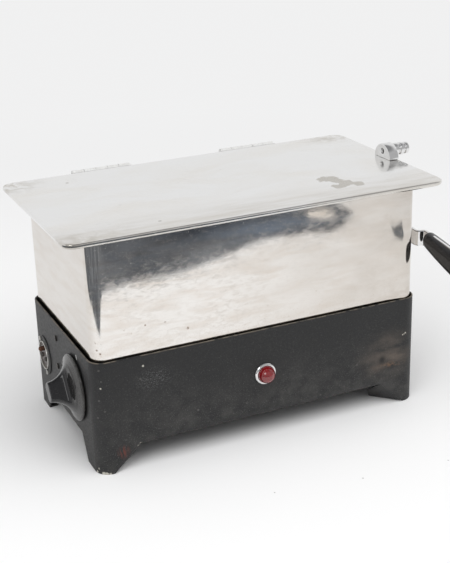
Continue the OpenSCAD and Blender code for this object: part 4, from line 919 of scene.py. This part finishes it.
lampRing = turnedRing(lampSize["ring"], 0.45, 4, lampSize["place"], (0, -1, 0), 72)
makePiece("lampRing", lampRing, "base", "chrome", ("lamp_bezel",))
makePiece("lampJewel", [(jewelLens(lampSize), False)], "base", "lens_red", ("lamp_lens",))
print("lamp made")


inletSize = {"place": (-170.0, 59.0, 61.0), "flange": [(14.6, 0.0), (20.0, 0.0), (20.0, 0.8), (19.2, 1.3),
    (15.6, 1.3), (14.6, 1.1)], "ring": [(13.8, 0.0), (14.7, 0.0), (14.7, 2.1), (14.4, 2.5), (14.1, 2.5),
    (13.8, 2.2)]}
inletFlange = turnedRing(inletSize["flange"], 0.3, 3, inletSize["place"], (-1, 0, 0), 80)
inletRing = turnedRing(inletSize["ring"], 0.25, 3, inletSize["place"], (-1, 0, 0), 80)
makePiece("inletFlange", inletFlange, "base", "base_paint", ("inlet_shroud",))
makePiece("inletRing", inletRing, "base", "zinc_steel", ("inlet_shroud",))
pinSize = {"radius": 2.4, "root": -150.0, "livePins": [(-173.6, 52.5, 59.0), (-173.6, 65.5, 59.0)],
    "earthPin": [(-176.8, 59.0, 68.5)]}


def roundedPins(size, tips):
    # at distance d from the tip the radius is r sin(acos(1 - d/r)) up to one radius, and r from there
    # to the root
    turn = np.linspace(0.08, math.pi / 2, 8)
    tip = np.column_stack([np.sin(turn), 1 - np.cos(turn)]) * size["radius"]
    profiles = [np.concatenate([tip, [[size["radius"], size["root"] - place[0]]]]) for place in tips]
    return [(spun(profile, place, (1, 0, 0), 32), False) for profile, place in zip(profiles, tips)]


# the live pins are brass but take the dark steel finish: painted shade, for the shade inside the socket
makePiece("livePins", roundedPins(pinSize, pinSize["livePins"]), "base", "brass", ("inlet_pins",),
    "dark_steel")
makePiece("earthPin", roundedPins(pinSize, pinSize["earthPin"]), "base", "tarnished", ("earth_pin",))
print("inlet made")


leverSize = {"pivot": (195.5, 70.0, 160.0), "droop": 2.5, "gripDroop": 11.0, "thick": 3.0, "wide": 16.5,
    "bendAt": 114.8, "bendEnd": 124.9, "step": 8.0, "tang": 48.0, "out": 1.5, "bendHalf": 0.8,
    "bendRadius": 4.6, "back": -8.6, "straightEnd": 104, "bendStart": 100.0, "eyeRadius": 9.25,
    "tangHalf": 4.5, "tangBlend": 3.0, "gripStart": 4.0, "gripRows": [(0, 3, 10), (3, 85, 32), (85, 95, 18)],
    "sidePower": 16.0, "topPower": 24.0, "grip": [(7.2, 0.0), (8.0, 0.5), (8.5, 1.4), (9.2, 8.0),
    (10.2, 20.0), (11.0, 34.0), (11.6, 48.0), (11.6, 60.0), (11.0, 75.0), (9.7, 86.0), (8.6, 90.5),
    (6.6, 93.4), (3.6, 94.7), (1.0, 95.0)], "flat": 9.0, "top": 9.2}


def leverPlace(out, forward, up):
    # turns (out, forward, up) at the pivot by the droop, forward being -y
    droop = math.radians(leverSize["droop"])
    pivot = leverSize["pivot"]
    y = pivot[1] - forward * math.cos(droop) - up * math.sin(droop)
    z = pivot[2] + up * math.cos(droop) - forward * math.sin(droop)
    return np.stack([pivot[0] + out, y, z], -1)


def strapBand(size):
    # a flat section with rounded edges carried along a line that steps outwards in two bends; it is
    # round behind the pivot and narrow in the grip
    middle, near, far = (size["bendAt"] + size["bendEnd"]) / 2, size["out"], size["step"] + size["out"]
    corners = [(size["bendStart"], near), (middle - size["bendHalf"], near), (middle + size["bendHalf"], far),
        (size["bendEnd"] + size["tang"], far)]
    line = softCorners(corners, [0, size["bendRadius"], size["bendRadius"], 0], 10)
    even = np.concatenate([np.linspace(size["back"], 0, 14), np.linspace(4, size["straightEnd"], 12)])
    straight = np.column_stack([even, np.full(len(even), near)])
    forward, out = np.concatenate([straight, line[line[:, 0] > size["straightEnd"] + 1]]).T
    slope = np.gradient(np.stack([forward, out], 1), axis=0)
    slope /= np.linalg.norm(slope, axis=1, keepdims=True)
    half = np.full_like(forward, size["wide"] / 2)
    half = np.where(forward < 0, np.sqrt(np.maximum(size["eyeRadius"] ** 2 - forward ** 2, 1.0)), half)
    blendIn = np.clip((forward - size["bendEnd"] - size["tangBlend"]) / size["tangBlend"], 0, 1)
    half = half * (1 - blendIn) + size["tangHalf"] * blendIn
    thick = size["thick"]
    section = softCorners([(-0.5, -1.0), (0.5, -1.0), (0.5, 1.0), (-0.5, 1.0)], 0.18, 3, True)
    section = np.column_stack([section[:, 0] * thick, section[:, 1]])
    up = half[:, None] * section[None, :, 1]
    sideways = section[None, :, 0]
    outside = out[:, None] + slope[:, 0, None] * sideways
    return leverPlace(outside, forward[:, None] - slope[:, 1, None] * sideways, up)


def mouldedGrip(size):
    # the section is a circle cut flat at both sides and on top: the smooth lesser of r(d), flat / |cos|
    # and top / sin
    profile = np.array(size["grip"])
    along = stretches(size["gripRows"])
    radius = np.interp(along, profile[:, 1], profile[:, 0])
    angle = np.arange(96) * 2 * math.pi / 96
    power = size["sidePower"]
    side = (size["flat"] / np.maximum(np.abs(np.cos(angle)), 0.05)) ** -power
    top = (size["top"] / np.maximum(np.sin(angle), 0.05)) ** -size["topPower"]
    reach = (radius[:, None] ** -power + side + top) ** (-1 / power)
    sideways, rise = reach * np.cos(angle), reach * np.sin(angle)
    droop = math.radians(size["gripDroop"])
    start = size["bendEnd"] + size["gripStart"]
    forward = start + along[:, None] * math.cos(droop) - rise * math.sin(droop)
    up = rise * math.cos(droop) - along[:, None] * math.sin(droop)
    out = size["step"] + size["out"] + sideways
    return leverPlace(out, forward, up)


makePiece("leverStrap", [(strapBand(leverSize), False)], "lever", "chrome", ("lever_strap",))
makePiece("leverGrip", [(mouldedGrip(leverSize), False)], "lever", "grip_black", ("lever_grip",))
print("lever made")
